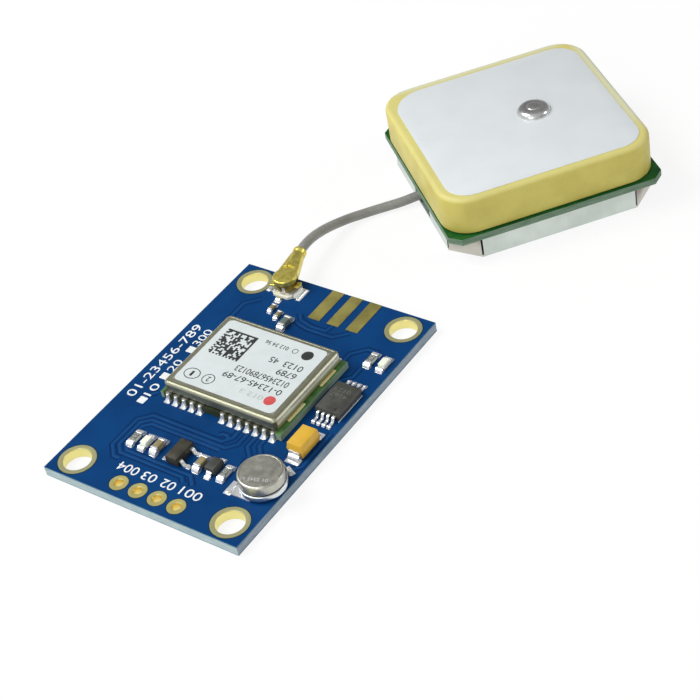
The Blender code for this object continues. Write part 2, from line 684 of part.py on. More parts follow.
def packages():
    quarter = math.pi / 2
    pins = even_offsets(MEMORY_LEADS, MEMORY_PITCH)
    memory_width = MEMORY_PITCH / 3
    package("memory_chip", "black_mould", MEMORY_PLACE, MEMORY_BODY, MEMORY_LIFT,
            [(quarter, MEMORY_REACH, memory_width, pins), (-quarter, MEMORY_REACH, memory_width, pins)])
    lead_width = REGULATOR_PITCH * 0.42
    package("voltage_regulator", "black_mould", REGULATOR_PLACE, REGULATOR_BODY, MEMORY_LIFT / 2,
            [(0.0, REGULATOR_REACH, lead_width, even_offsets(2, 2 * REGULATOR_PITCH)),
             (math.pi, REGULATOR_REACH, lead_width, even_offsets(3, REGULATOR_PITCH))])
    package("diode", "black_mould", DIODE_PLACE, DIODE_BODY, MEMORY_LIFT / 2,
            [(quarter, DIODE_REACH, lead_width, (0.0,)), (-quarter, DIODE_REACH, lead_width, (0.0,))])


def tantalum_capacitor():
    spot = (*spot_on(TANTALUM_PLACE), TOP)
    lift = SEAT + TANTALUM_STRIP_T + SEAT
    mesh = moulded_mesh("tantalum_body", TANTALUM_BODY, lift)
    add_part("tantalum_body", mesh, "amber_mould", spot)
    end = TANTALUM_BODY[1] / 2 + SEAT
    outer = end + TANTALUM_STRIP_T
    low, strip_top = SEAT, SEAT + TANTALUM_STRIP_T
    high = lift + TANTALUM_BODY[2] / 2
    under = end - TANTALUM_STRIP_UNDER
    outline = ((under, low), (outer, low), (outer, high), (end, high), (end, strip_top), (under, strip_top))
    for i, direction in enumerate((-math.pi / 2, math.pi / 2), 1):
        name = f"tantalum_terminal_{i}"
        strip = outline_plate(name, outline, TANTALUM_STRIP_X)
        strip.transform(Matrix.Rotation(math.pi / 2, 4, "X"))
        add_part(name, strip, "tin", spot, direction)


def passive(name, finish, place, size, cap):
    """A two-ended chip: square end caps, and a body between them that is a hair slimmer."""
    bm = bmesh.new()
    bmesh.ops.create_cube(bm, size=1.0)
    bmesh.ops.scale(bm, vec=Vector(size), verts=bm.verts)
    waist = size[1] / 2 - cap
    for y in (-waist, -waist + PASSIVE_STEP, waist - PASSIVE_STEP, waist):
        bmesh.ops.bisect_plane(bm, geom=bm.verts[:] + bm.edges[:] + bm.faces[:], plane_co=(0, y, 0),
                               plane_no=(0, 1, 0))
    for vert in bm.verts:
        if abs(vert.co.y) < waist - PASSIVE_STEP / 2:
            vert.co.x -= math.copysign(PASSIVE_STEP, vert.co.x)
            vert.co.z -= math.copysign(PASSIVE_STEP, vert.co.z)
    bmesh.ops.translate(bm, vec=(0.0, 0.0, CHIP_LIFT + size[2] / 2), verts=bm.verts)
    add_part(name, mesh_from(bm, name, shaded=False), finish, (*spot_on(place), TOP))


def small_parts():
    for i, place in enumerate(RESISTOR_PLACES, 1):
        passive(f"resistor_{i}", "black_mould", place, RESISTOR, PASSIVE_CAP)
    for i, place in enumerate(CAPACITOR_PLACES, 1):
        passive(f"capacitor_{i}", "tan_ceramic", place, CAPACITOR, PASSIVE_CAP)
    for i, place in enumerate(SMALL_PASSIVE_PLACES, 1):
        passive(f"matching_part_{i}", "black_mould", place, SMALL_PASSIVE, SMALL_PASSIVE_CAP)
    for i, place in enumerate(LED_PLACES, 1):
        spot = (*spot_on(place), TOP)
        name = f"status_led_{i}"
        led = add_part(name, block(name, LED_BASE, base=CHIP_LIFT), "white_mould", spot)
        lens = block(f"led_lens_{i}", LED_LENS, edge=LED_LENS[2] / 4, edge_steps=2,
                     base=CHIP_LIFT + LED_BASE[2] - SEAT)
        boolean(led, add_cutter(f"led_lens_{i}", lens, spot), "UNION")


def backup_cell():
    """A crimped coin cell on two welded tabs: case, plastic gasket and cap stacked on one axis."""
    spot = (*spot_on(CELL_PLACE), TOP)
    seat = SEAT + CELL_TAB_T + SEAT
    shoulder = CELL_WALL
    case_top = seat + CELL_CASE_H
    inside = CELL_CASE_R - CELL_WALL
    case = ((CELL_CASE_R - shoulder / 2, case_top), (CELL_CASE_R, case_top - shoulder / 2),
            (CELL_CASE_R, seat + shoulder), (CELL_CASE_R - shoulder / 3, seat + shoulder / 3),
            (CELL_CASE_R - shoulder, seat), (0.0, seat), (0.0, seat + CELL_WALL),
            (inside, seat + CELL_WALL), (inside, case_top))
    turned("cell_case", case + (case[0],), "steel", CELL_STEPS, location=spot)
    gasket_top = case_top + CELL_GASKET_T
    groove = inside - FIT
    gasket_bore = groove - 2 * CELL_WALL
    gasket = ((groove, gasket_top), (groove, seat + CELL_WALL + SEAT),
              (gasket_bore, seat + CELL_WALL + SEAT), (gasket_bore, gasket_top))
    turned("cell_gasket", gasket, "black_mould", CELL_STEPS, closed=True, location=spot)
    cap_low = gasket_top + SEAT
    cap_top = cap_low + CELL_CAP_H
    cap = ((0.0, cap_top), (CELL_CAP_R - 2 * shoulder, cap_top), (CELL_CAP_R - shoulder * 0.9, cap_top - shoulder / 4),
           (CELL_CAP_R - shoulder / 4, cap_top - shoulder), (CELL_CAP_R, cap_top - 2 * shoulder),
           (CELL_CAP_R, cap_low + shoulder / 2), (CELL_CAP_R - shoulder / 2, cap_low), (0.0, cap_low))
    turned("cell_cap", cap, "steel", CELL_STEPS, location=spot)

    plate = block("cell_tab_1", (CELL_TAB_REACH, CELL_TAB_Y, CELL_TAB_T), base=SEAT)
    plate.transform(Matrix.Translation((-CELL_TAB_REACH / 2, CELL_TAB_OFFSET, 0.0)))
    add_part("cell_tab_1", plate, "tin", spot)
    foot_in = CELL_CASE_R + SEAT
    outline = ((foot_in, SEAT), (CELL_LEAF_REACH, SEAT), (CELL_LEAF_REACH, SEAT + CELL_TAB_T),
               (foot_in + CELL_TAB_T, SEAT + CELL_TAB_T), (foot_in + CELL_TAB_T, case_top - shoulder),
               (foot_in, case_top - shoulder))
    leaf = outline_plate("cell_tab_2", outline, CELL_LEAF_Y)
    leaf.transform(Matrix.Rotation(math.pi / 2, 4, "X"))
    add_part("cell_tab_2", leaf, "tin", spot, CELL_LEAF_TURN)


def antenna():
    """The patch antenna, in a frame centred on it and turned to how it lies."""
    frame = bpy.data.objects.new("antenna_frame", None)
    frame.location = (*ANTENNA_CENTRE, 0.0)
    frame.rotation_euler = (0.0, 0.0, ANTENNA_TURN)
    bpy.data.collections[PARTS].objects.link(frame)
    board_side = CERAMIC_SIDE + 2 * PATCH_BOARD_OVERHANG
    antenna_shield(frame, board_side - 2 * SHIELD_INSET)

    board_low = SHIELD_H + SEAT
    board_top = board_low + PATCH_BOARD_T
    outline = chamfered_square(board_side, PATCH_BOARD_CHAMFER)
    mesh = outline_plate("antenna_board", outline, PATCH_BOARD_T)
    mesh.transform(Matrix.Translation((0.0, 0.0, board_low + PATCH_BOARD_T / 2)))
    board = add_part("antenna_board", mesh, "mask_green", parent=frame)

    tape_low = board_top + SEAT
    tape_side = CERAMIC_SIDE - 2 * ADHESIVE_INSET
    mesh = block("antenna_adhesive", (tape_side, tape_side, ADHESIVE_T), CERAMIC_CORNER_R, 6, base=tape_low)
    tape = add_part("antenna_adhesive", mesh, "foam", parent=frame)
    ceramic_low = tape_low + ADHESIVE_T + SEAT
    ceramic_top = ceramic_low + CERAMIC_H
    size = (CERAMIC_SIDE, CERAMIC_SIDE, CERAMIC_H)
    mesh = block("antenna_ceramic", size, CERAMIC_CORNER_R, 7, CERAMIC_EDGE_R, 3, ceramic_low)
    ceramic = add_part("antenna_ceramic", mesh, "cream_ceramic", parent=frame)
    electrode_low = ceramic_top + SEAT
    face_side = CERAMIC_SIDE - 2 * ELECTRODE_MARGIN
    size = (face_side, face_side, ELECTRODE_T)
    mesh = block("antenna_electrode", size, ELECTRODE_CORNER_R, 6, base=electrode_low)
    electrode = add_part("antenna_electrode", mesh, "silver_print", parent=frame)

    dome_low = electrode_low + ELECTRODE_T + SEAT
    tail_low = board_low - FEED_TAIL
    over = FEED_TAIL
    hole = cylinder("feed_hole", FEED_PIN_R + FIT, tail_low - over, dome_low + over, PIN_STEPS)
    hole = add_cutter("feed_hole", hole, (*FEED_OFFSET, 0.0), parent=frame)
    for drilled in (board, tape, ceramic, electrode):
        boolean(drilled, hole)
    arc = [(FEED_DOME_R * math.sin(math.radians(a)), dome_low + FEED_DOME_H * math.cos(math.radians(a)))
           for a in (0, 18, 36, 54, 72, 86)]
    arc[0] = (0.0, dome_low + FEED_DOME_H)
    profile = arc + [(FEED_DOME_R, dome_low), (FEED_PIN_R, dome_low), (FEED_PIN_R, tail_low), (0.0, tail_low)]
    turned("antenna_feed_pin", profile, "tin", PIN_STEPS, location=(*FEED_OFFSET, 0.0), parent=frame)

    under = board_low - SEAT
    hung = (("amplifier_chip", AMPLIFIER, (0.0040, 0.0045), "black_mould"),
            ("antenna_filter", ANTENNA_FILTER, (-0.0040, 0.0050), "nickel"),
            ("coax_solder", COAX_SOLDER, (-0.0008, 0.0002), "tin"))
    for name, size, centre, finish in hung:
        mesh = block(name, size, size[0] / 10, 1, base=under - size[2])
        add_part(name, mesh, finish, (*centre, 0.0), parent=frame)


def antenna_shield(frame, side):
    """A folded can, open to the board: its corner walls stand apart from the side walls by slits."""
    outline = chamfered_square(side, SHIELD_CHAMFER)
    mesh = outline_plate("antenna_shield", outline, SHIELD_H)
    mesh.transform(Matrix.Translation((0.0, 0.0, SHIELD_H / 2)))
    shield = add_part("antenna_shield", mesh, "tin", parent=frame)
    inside = side - 2 * SHIELD_T
    inside_chamfer = SHIELD_CHAMFER - SHIELD_T * (2 - math.sqrt(2))
    mesh = outline_plate("shield_inside", chamfered_square(inside, inside_chamfer), SHIELD_H)
    mesh.transform(Matrix.Translation((0.0, 0.0, SHIELD_H / 2 + SHIELD_T)))
    boolean(shield, add_cutter("shield_inside", mesh, parent=frame))

    slit_low = SHIELD_T + SEAT
    slit_size = (4 * SHIELD_T, SHIELD_SLIT, SHIELD_H)
    for i, (x, y) in enumerate(outline, 1):
        mesh = block(f"shield_slit_{i}", slit_size, base=slit_low)
        outward = math.atan2(y, x)
        boolean(shield, add_cutter(f"shield_slit_{i}", mesh, (x, y, 0.0), outward, frame))
    notch = block("cable_notch", (4 * SHIELD_T, CABLE_NOTCH_X, SHIELD_H), base=CABLE_NOTCH_SILL)
    spot = (-side / 2, CABLE_NOTCH_CENTRE, 0.0)
    boolean(shield, add_cutter("cable_notch", notch, spot, parent=frame))


PARTS = "receiver_board_with_antenna"


def build():
    clear_scene()
    make_collection(PARTS)
    make_collection(CUTTERS)
    circuit_board()
    plated_holes()
    edge_pads()
    receiver_module()
    coax_socket()
    coax_plug()
    coax_cable()
    packages()
    tantalum_capacitor()
    small_parts()
    backup_cell()
    antenna()


build()
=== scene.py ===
# %% [markdown]
# # A satellite receiver board and its patch antenna
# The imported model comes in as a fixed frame: every solid already has its real size and place, in
# metres. This lesson gives those solids their finishes and adds what a solid model leaves out, such
# as solder, copper tracks, printed marks and the soft curve of the cable.

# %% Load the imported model
import math
import random

import bpy
from mathutils import Matrix, Vector


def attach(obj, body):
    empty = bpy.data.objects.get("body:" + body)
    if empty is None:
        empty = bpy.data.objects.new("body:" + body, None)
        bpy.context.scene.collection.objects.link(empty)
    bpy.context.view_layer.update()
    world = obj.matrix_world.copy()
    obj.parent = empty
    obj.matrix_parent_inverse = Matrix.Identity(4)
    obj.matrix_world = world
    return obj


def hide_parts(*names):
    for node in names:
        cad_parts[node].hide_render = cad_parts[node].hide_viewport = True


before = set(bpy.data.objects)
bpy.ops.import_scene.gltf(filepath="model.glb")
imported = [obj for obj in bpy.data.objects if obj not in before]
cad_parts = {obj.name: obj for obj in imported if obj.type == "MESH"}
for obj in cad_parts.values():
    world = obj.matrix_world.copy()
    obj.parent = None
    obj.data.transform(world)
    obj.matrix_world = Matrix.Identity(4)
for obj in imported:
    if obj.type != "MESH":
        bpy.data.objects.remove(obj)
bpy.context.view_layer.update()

MM = 0.001

# %% [markdown]
# ## The camera
# A camera is a place, a turn and a lens. The turn is written as three unit vectors, the directions
# of the picture's right, of its top and back out of it, because they can be measured one by one. A
# long lens from 19 cm away keeps the board's edges nearly parallel.

# %% Camera
LOOK_RIGHT = (0.81351, 0.55885, -0.16089)
LOOK_UP = (-0.27219, 0.61038, 0.74387)
LOOK_BACK = (0.51392, -0.56136, 0.64866)
CAMERA_AT = (0.105481, -0.097509, 0.125942)
LENS = 92.58
camera = bpy.data.objects.new("camera", bpy.data.cameras.new("camera"))
bpy.context.scene.collection.objects.link(camera)
turn = Matrix((LOOK_RIGHT, LOOK_UP, LOOK_BACK)).transposed().to_4x4()
camera.matrix_world = Matrix.Translation(CAMERA_AT) @ turn
camera.data.lens = LENS
camera.data.clip_start = 0.01
bpy.context.scene.camera = camera
print("lens", camera.data.lens, "mm")

# %% [markdown]
# ## The cable
# The coaxial lead is one fixed length that comes out of the antenna's can, lies down on the table
# and climbs into the plug. A bezier curve through the route's own points gives a line that is smooth
# between them, and a round bevel makes it a lead. It starts at the antenna, so that its far end is
# the plug.

# %% Cable
CABLE_D = 1.13 * MM
CABLE_ROUTE = (
    (5.83, 44.91, 1.62), (3.62, 42.19, 1.57), (1.49, 39.92, 1.38), (-0.36, 38.07, 1.13),
    (-1.80, 36.62, 0.93), (-2.46, 35.80, 0.83), (-3.14, 35.05, 0.73), (-4.00, 34.19, 0.64),
    (-4.83, 33.28, 0.60), (-5.60, 32.31, 0.61), (-6.30, 31.20, 0.71), (-6.88, 29.97, 0.92),
    (-7.27, 28.55, 1.24), (-7.50, 27.00, 1.66), (-7.59, 25.20, 2.12), (-7.53, 23.55, 2.47),
    (-7.36, 22.10, 2.66), (-7.10, 20.74, 2.70), (-6.70, 19.40, 2.70), (-6.33, 18.15, 2.70))
lead = bpy.data.curves.new("cable", "CURVE")
lead.dimensions = "3D"
lead.bevel_depth = CABLE_D / 2
lead.bevel_resolution = 6
lead.resolution_u = 6
lead.use_fill_caps = True
spline = lead.splines.new("BEZIER")
spline.bezier_points.add(len(CABLE_ROUTE) - 1)
for point, place in zip(spline.bezier_points, CABLE_ROUTE):
    point.co = Vector(place) * MM
    point.handle_left_type = point.handle_right_type = "AUTO"
cable = bpy.data.objects.new("cable", lead)
bpy.context.scene.collection.objects.link(cable)
bpy.context.view_layer.update()
CABLE_LENGTH = spline.calc_length()
print("cable", round(CABLE_LENGTH / MM, 2), "mm long")

# %% [markdown]
# ## Shader maths as sums
# A node tree is arithmetic drawn as boxes. This small class wraps one output socket, so that a sum or
# a product of sockets adds its Math nodes by itself, and `1 - mask` reads as it sounds. Colours go
# through Mix and vectors through Vector Math, because a Math node would turn them grey.

# %% The socket wrapper
class Wire:
    """One output socket. Arithmetic on it adds Math nodes."""

    def __init__(self, socket):
        self.socket = socket

    def node(self, kind, values, out=0, **settings):
        """Adds a node of that kind: its settings first, then the values or wires of its sockets."""
        made = self.socket.id_data.nodes.new("ShaderNode" + kind)
        for name, value in settings.items():
            setattr(made, name, value)
        for name, value in values.items():
            if isinstance(value, Wire):
                made.id_data.links.new(value.socket, made.inputs[name])
            else:
                made.inputs[name].default_value = value
        return Wire(made.outputs[out])

    def math(self, operation, *others):
        return self.node("Math", dict(enumerate((self, *others))), operation=operation)

    def __add__(self, other):
        return self.math("ADD", other)

    def __sub__(self, other):
        return self.math("SUBTRACT", other)

    def __rsub__(self, other):
        return self.node("Math", {0: other, 1: self}, operation="SUBTRACT")

    def __mul__(self, other):
        return self.math("MULTIPLY", other)

    def __truediv__(self, other):
        return self.math("DIVIDE", other)

    def __gt__(self, limit):
        return self.math("GREATER_THAN", limit)

    def __lt__(self, limit):
        return self.math("LESS_THAN", limit)

    def __abs__(self):
        return self.math("ABSOLUTE")

    __radd__ = __add__
    __rmul__ = __mul__

    def most(self, other):
        return self.math("MAXIMUM", other)

    def axes(self):
        """The three parts of a vector."""
        return [Wire(s) for s in self.node("SeparateXYZ", {0: self}).socket.node.outputs]

    def ramp(self, low, high):
        """0 below low, 1 above high and a soft step between them."""
        return self.node("MapRange", {"Value": self, "From Min": low, "From Max": high},
                         interpolation_type="SMOOTHSTEP")

    def mix(self, low, high):
        """The colour low where this is 0 and high where it is 1."""
        ends = [c if isinstance(c, Wire) else (*c, 1.0) for c in (low, high)]
        # A Mix node has its colours on sockets 6 and 7, and gives a colour on its output 2.
        return self.node("Mix", {0: self, 6: ends[0], 7: ends[1]}, out=2, data_type="RGBA")

    def stretched(self, x, y, z):
        """The same place with its axes stretched."""
        return self.node("VectorMath", {0: self, 1: (x, y, z)}, operation="MULTIPLY")

    def noise(self, size, detail=2.0, rough=0.5):
        """Cloudy noise about 0.5, with patches about that many metres wide."""
        return self.node("TexNoise", {"Vector": self, "Scale": 1 / size, "Detail": detail,
                                      "Roughness": rough})

    def bumps(self, depth, strength=1.0):
        """A normal from this height, which is 0 to 1, over a real depth in metres."""
        return self.node("Bump", {"Height": self, "Distance": depth, "Strength": strength})

# %% [markdown]
# ## A finish from a paint function
# What varies over a surface comes from a paint function: it gets the place on the object and gives
# a wire for each socket that it drives. What is the same all over is set on the shader's own
# socket, because an export keeps it only there.

# %% Finishes
def finish(name, paint, constants):
    """A material. paint(place) gives what varies over it. The constants go on the shader itself."""
    material = bpy.data.materials.new(name)
    material.use_nodes = True
    nodes = material.node_tree.nodes
    shader = nodes["Principled BSDF"]
    for socket, value in constants.items():
        shader.inputs[socket].default_value = value
    place = Wire(nodes.new("ShaderNodeTexCoord").outputs["Object"])
    for socket, wire in paint(place).items():
        material.node_tree.links.new(wire.socket, shader.inputs[socket])
    print(name, len(nodes), "nodes")
    return material

# %% [markdown]
# ## The white table
# Small electronics are photographed on white paper. A plain pale floor under plain light comes out
# grey, and more light would bleach the object. So the paper keeps its pale colour and its soft
# shadow, and a Mix Shader lets most of it shine plain white to the rays that show the background:
# from the camera, from a mirror or through glass.

# %% Table
FLOOR_SIDE, FLOOR_DROP = 3.0, 0.02 * MM
bpy.ops.object.select_all(action="DESELECT")
bpy.ops.mesh.primitive_plane_add(size=FLOOR_SIDE, location=(0.0, 0.0, -FLOOR_DROP))
floor = bpy.context.active_object
floor.name = "table_top"


def seen_directly(first):
    """1 for rays that show the background: from the camera, from a mirror or through glass."""
    path = first.node("LightPath", {}).socket.node.outputs
    seen = [Wire(path[n]) for n in ("Is Camera Ray", "Is Glossy Ray", "Is Transmission Ray")]
    return seen[0].most(seen[1]).most(seen[2])


TABLE_WHITE = 0.80
TABLE_GLOW, TABLE_GLOW_SHARE = 1.02, 0.84
WHITE_LIGHT = (1.0, 1.0, 1.0, 1.0)
paper = bpy.data.materials.new("table_paper")
paper.use_nodes = True
shader = paper.node_tree.nodes["Principled BSDF"]
shader.inputs["Roughness"].default_value = 0.9
shader.inputs["Specular IOR Level"].default_value = 0.0
place = Wire(paper.node_tree.nodes.new("ShaderNodeTexCoord").outputs["Object"])
grain = place.noise(0.6 * MM, 3.0).mix((TABLE_WHITE - 0.01,) * 3, (TABLE_WHITE + 0.01,) * 3)
paper.node_tree.links.new(grain.socket, shader.inputs["Base Color"])
glow = place.node("Emission", {"Color": WHITE_LIGHT, "Strength": TABLE_GLOW})
both = place.node("MixShader", {0: seen_directly(place) * TABLE_GLOW_SHARE,
                                1: Wire(shader.outputs[0]), 2: glow})
paper.node_tree.links.new(both.socket, paper.node_tree.nodes["Material Output"].inputs["Surface"])
floor.data.materials.append(paper)
print(floor.name, "is", FLOOR_SIDE, "m wide")

# %% [markdown]
# ## The sky of a white tent
# In a tent of white cloth light comes from all round and shadows are faint. The world gives that
# light, brighter on the left than on the right so that every face has its own tone, and darker behind
# the object, where flat metal tops mirror it to the camera. A dot product with a direction says how
# far a ray points that way. The camera itself sees plain white.

# %% Sky
world = bpy.data.worlds.new("white_tent")
bpy.context.scene.world = world
world.use_nodes = True
SKY_LEFT, SKY_RIGHT, SKY_BEHIND = 0.78, 0.36, 0.42
tree = world.node_tree
sky = Wire(tree.nodes.new("ShaderNodeTexCoord").outputs["Generated"])
side = sky.node("VectorMath", {0: sky, 1: LOOK_RIGHT}, out="Value", operation="DOT_PRODUCT")
level = side.ramp(-0.8, 0.9)
mirrored = (-LOOK_BACK[0], -LOOK_BACK[1], LOOK_BACK[2])
behind = sky.node("VectorMath", {0: sky, 1: mirrored}, out="Value", operation="DOT_PRODUCT")
sideways = SKY_LEFT + level * (SKY_RIGHT - SKY_LEFT)
strength = sideways * (1 - behind.ramp(0.45, 0.95) * (1 - SKY_BEHIND))
lit = sky.node("Background", {"Color": WHITE_LIGHT, "Strength": strength})
seen = sky.node("Background", {"Color": WHITE_LIGHT, "Strength": 1.0})
camera_only = Wire(sky.node("LightPath", {}).socket.node.outputs["Is Camera Ray"])
both = sky.node("MixShader", {0: camera_only, 1: lit, 2: seen})
tree.links.new(both.socket, tree.nodes["World Output"].inputs["Surface"])
print(world.name, len(tree.nodes), "nodes")

# %% [markdown]
# ## The lamps
# A large soft lamp at the upper left gives the highlights, a weak one in front opens the shadows, and
# a small one at the far right draws a thin bright line along every rounded edge. Each is aimed at the
# middle of the object.

# %% Lamps
def lamp(name, place, target, size, power):
    """A square soft lamp that faces the target."""
    light = bpy.data.lights.new(name, "AREA")
    light.size = size
    light.energy = power
    made = bpy.data.objects.new(name, light)
    bpy.context.scene.collection.objects.link(made)
    made.location = place
    made.rotation_euler = (Vector(target) - Vector(place)).to_track_quat("-Z", "Y").to_euler()
    return made


MIDDLE = (0.002, 0.022, 0.0)
lamp("upper_left_lamp", (-0.22, -0.10, 0.36), MIDDLE, 0.20, 1.25)
lamp("front_lamp", (0.06, -0.34, 0.22), MIDDLE, 0.16, 0.35)
lamp("right_lamp", (0.32, 0.26, 0.20), MIDDLE, 0.10, 0.30)
bpy.context.scene.view_settings.view_transform = "Standard"
print(len(bpy.data.lights), "lamps are up")

# %% [markdown]
# ## Blue solder mask over laminate
# The board is glass cloth in resin under a thin blue lacquer. The lacquer covers both faces and stops
# at the cut edges, where the pale laminate shows its layers. One material does both: a mask made of
# distances from the board's edge picks the finish, and a faint weave lies under the lacquer. Round
# each plated hole the lacquer keeps a little back, which leaves a thin dark ring.

# %% Board finish
BOARD_X, BOARD_Y, TOP = 25.5 * MM, 36.0 * MM, 1.2 * MM
EDGE_TRIM = 0.02 * MM
HOLE_X, HOLE_Y, HOLE_CLEAR = 10.15, 15.6, 2.19
PIN_PITCH, PIN_Y, PIN_CLEAR = 2.54, 16.3, 1.12
WEAVE = 0.55 * MM


def rounded(across, along):
    """The distance from a centre, from the two distances along the axes."""
    return (across * across + along * along).math("SQRT")


def board_paint(place):
    x, y, z = place.axes()
    cut_edge = (abs(x) > BOARD_X / 2 - EDGE_TRIM).most(abs(y) > BOARD_Y / 2 - EDGE_TRIM)
    rim = (z > TOP - 0.13 * MM).most(z < 0.10 * MM)
    cloud = place.noise(4.0 * MM, 3.0).ramp(0.3, 0.7)
    speck = place.noise(0.12 * MM, 2.0)
    lacquer = (cloud * 0.6 + speck * 0.4).mix((0.002, 0.037, 0.144), (0.003, 0.051, 0.182))
    hole = rounded(abs(x) - HOLE_X * MM, abs(y) - HOLE_Y * MM)
    pin = rounded(abs(abs(x) - PIN_PITCH * MM) - PIN_PITCH / 2 * MM, y + PIN_Y * MM)
    gap = (hole < HOLE_CLEAR * MM).most(pin < PIN_CLEAR * MM)
    lacquer = (gap * 0.8).mix(lacquer, (0.010, 0.030, 0.030))
    layers = place.stretched(0.25, 0.25, 6.0).noise(0.5 * MM, 3.0).ramp(0.3, 0.7)
    laminate = layers.mix((0.28, 0.38, 0.40), (0.48, 0.55, 0.55))
    laminate = (rim * 0.75).mix(laminate, (0.05, 0.18, 0.26))
    # Painted shade: the right cut edge is darker, as the light comes from the left.
    laminate = (x > BOARD_X / 2 - EDGE_TRIM).mix(laminate, laminate.stretched(0.80, 0.78, 0.88))
    weave = (x * (math.tau / WEAVE)).math("SINE") * (y * (math.tau / WEAVE)).math("SINE")
    height = weave * 0.25 + speck * 0.5
    return {"Base Color": cut_edge.mix(lacquer, laminate),
            "Roughness": cut_edge * 0.30 + cloud * 0.06 + 0.33,
            "Normal": height.bumps(0.006 * MM, 0.5)}


blue_mask = finish("blue_mask", board_paint, {"Specular IOR Level": 0.07})

# %% [markdown]
# ## Metals
# Gold plate, solder, tin plate, nickel and steel are all one idea: a metal whose roughness varies
# from patch to patch and whose skin has fine scratches or grain. A function that takes the two tones,
# the roughness and the grain makes each of them, with the grain stretched along one axis where the
# sheet was rolled. Satin and tarnished metals are a little less than fully metallic, so that they
# keep their own tone where they mirror something dark. A plated hole has a function of its own,
# because its rings and its barrel differ.

# %% Metal finishes
def metal(name, dark, light, rough, grain, stretch=(1.0, 1.0, 1.0), depth=0.004, metallic=1.0,
          cloudy=0.5):
    """A metal between two tones. grain is the size of its marks, and depth how deep they are."""
    def paint(place):
        patch = place.noise(12 * grain, 2.0).ramp(0.3, 0.7)
        marks = place.stretched(*stretch).noise(grain, 4.0, 0.6)
        return {"Base Color": (patch * cloudy + marks * (1 - cloudy)).mix(dark, light),
                "Roughness": marks * 0.22 + patch * 0.08 + (rough - 0.15),
                "Normal": marks.bumps(depth * MM, 0.6)}
    return finish(name, paint, {"Metallic": metallic})


def plated(name, ring, wall):
    """A plated hole's finish: its flat rings are paler than the wall of its barrel."""
    def paint(place):
        z = place.axes()[2]
        flat = (z > TOP - 0.004 * MM).most(z < 0.02 * MM)
        marks = place.noise(0.12 * MM, 4.0, 0.6)
        bright = flat.mix(wall, ring)
        return {"Base Color": marks.mix(bright.stretched(0.8, 0.8, 0.75), bright),
                "Metallic": 0.95 - flat * 0.50,
                "Roughness": marks * 0.10 + flat * 0.15 + 0.25,
                "Normal": marks.bumps(0.004 * MM, 0.5)}
    return finish(name, paint, {})


gold_plate = plated("gold_plate", (0.42, 0.41, 0.22), (0.95, 0.86, 0.34))
pad_gold = plated("pad_gold", (0.52, 0.47, 0.18), (0.98, 0.78, 0.26))
strip_gold = metal("strip_gold", (0.90, 0.60, 0.18), (1.00, 1.00, 0.62), 0.40, 0.30 * MM,
                   metallic=0.25)
dull_gold = metal("dull_gold", (0.29, 0.245, 0.065), (0.50, 0.45, 0.135), 0.46, 0.25 * MM,
                  (1.0, 0.3, 1.0), metallic=0.75)
solder = metal("solder", (0.74, 0.76, 0.78), (0.96, 0.97, 0.97), 0.27, 0.20 * MM, depth=0.008,
               metallic=0.62)
pin_solder = metal("pin_solder", (0.52, 0.53, 0.52), (0.88, 0.88, 0.87), 0.25, 0.30 * MM, depth=0.008)
tin_plate = metal("tin_plate", (0.70, 0.71, 0.70), (0.90, 0.91, 0.90), 0.36, 0.20 * MM, metallic=0.75)
tan_pad = metal("tan_pad", (0.16, 0.155, 0.105), (0.33, 0.32, 0.23), 0.40, 0.12 * MM, metallic=0.6)
# The shield frame's dark nickel is painted shade: the frame stands in shadow under the lid.
shaded_frame_nickel = metal("shaded_frame_nickel", (0.22, 0.215, 0.12), (0.40, 0.39, 0.24), 0.40, 0.20 * MM)
cell_steel = metal("cell_steel", (0.36, 0.36, 0.31), (0.66, 0.66, 0.58), 0.40, 0.07 * MM,
                   (1.0, 0.3, 1.0), cloudy=0.3)
case_steel = metal("case_steel", (0.62, 0.66, 0.69), (0.80, 0.84, 0.87), 0.32, 0.15 * MM, cloudy=0.3)

# %% [markdown]
# ## Nickel silver of the lid
# The lid's sheet is a warm, satin metal. Its rolling marks run along x, so the noise's place is
# squeezed along that axis. Its colour also carries painted light and shade. The narrow rim between
# the label and the rounded edge is painted a darker olive. The two long edges and their walls carry
# painted shade, which lowers their highlight and the reflection on the walls. The two short walls
# carry a painted highlight above, and near the board painted shade with a yellow painted reflection
# of the gilded strips; they are less metallic, so that these painted tones show. Masks of distances
# from the lid's middle, and of the height, pick these zones out, and each mixes its own tone over
# the sheet's.

# %% Lid finish
MODULE_X0, MODULE_Y0 = 0.16, 1.92
LID_TOP, LID_EDGE = 3.59, 0.42
LID_W, LID_D = 15.0, 11.9


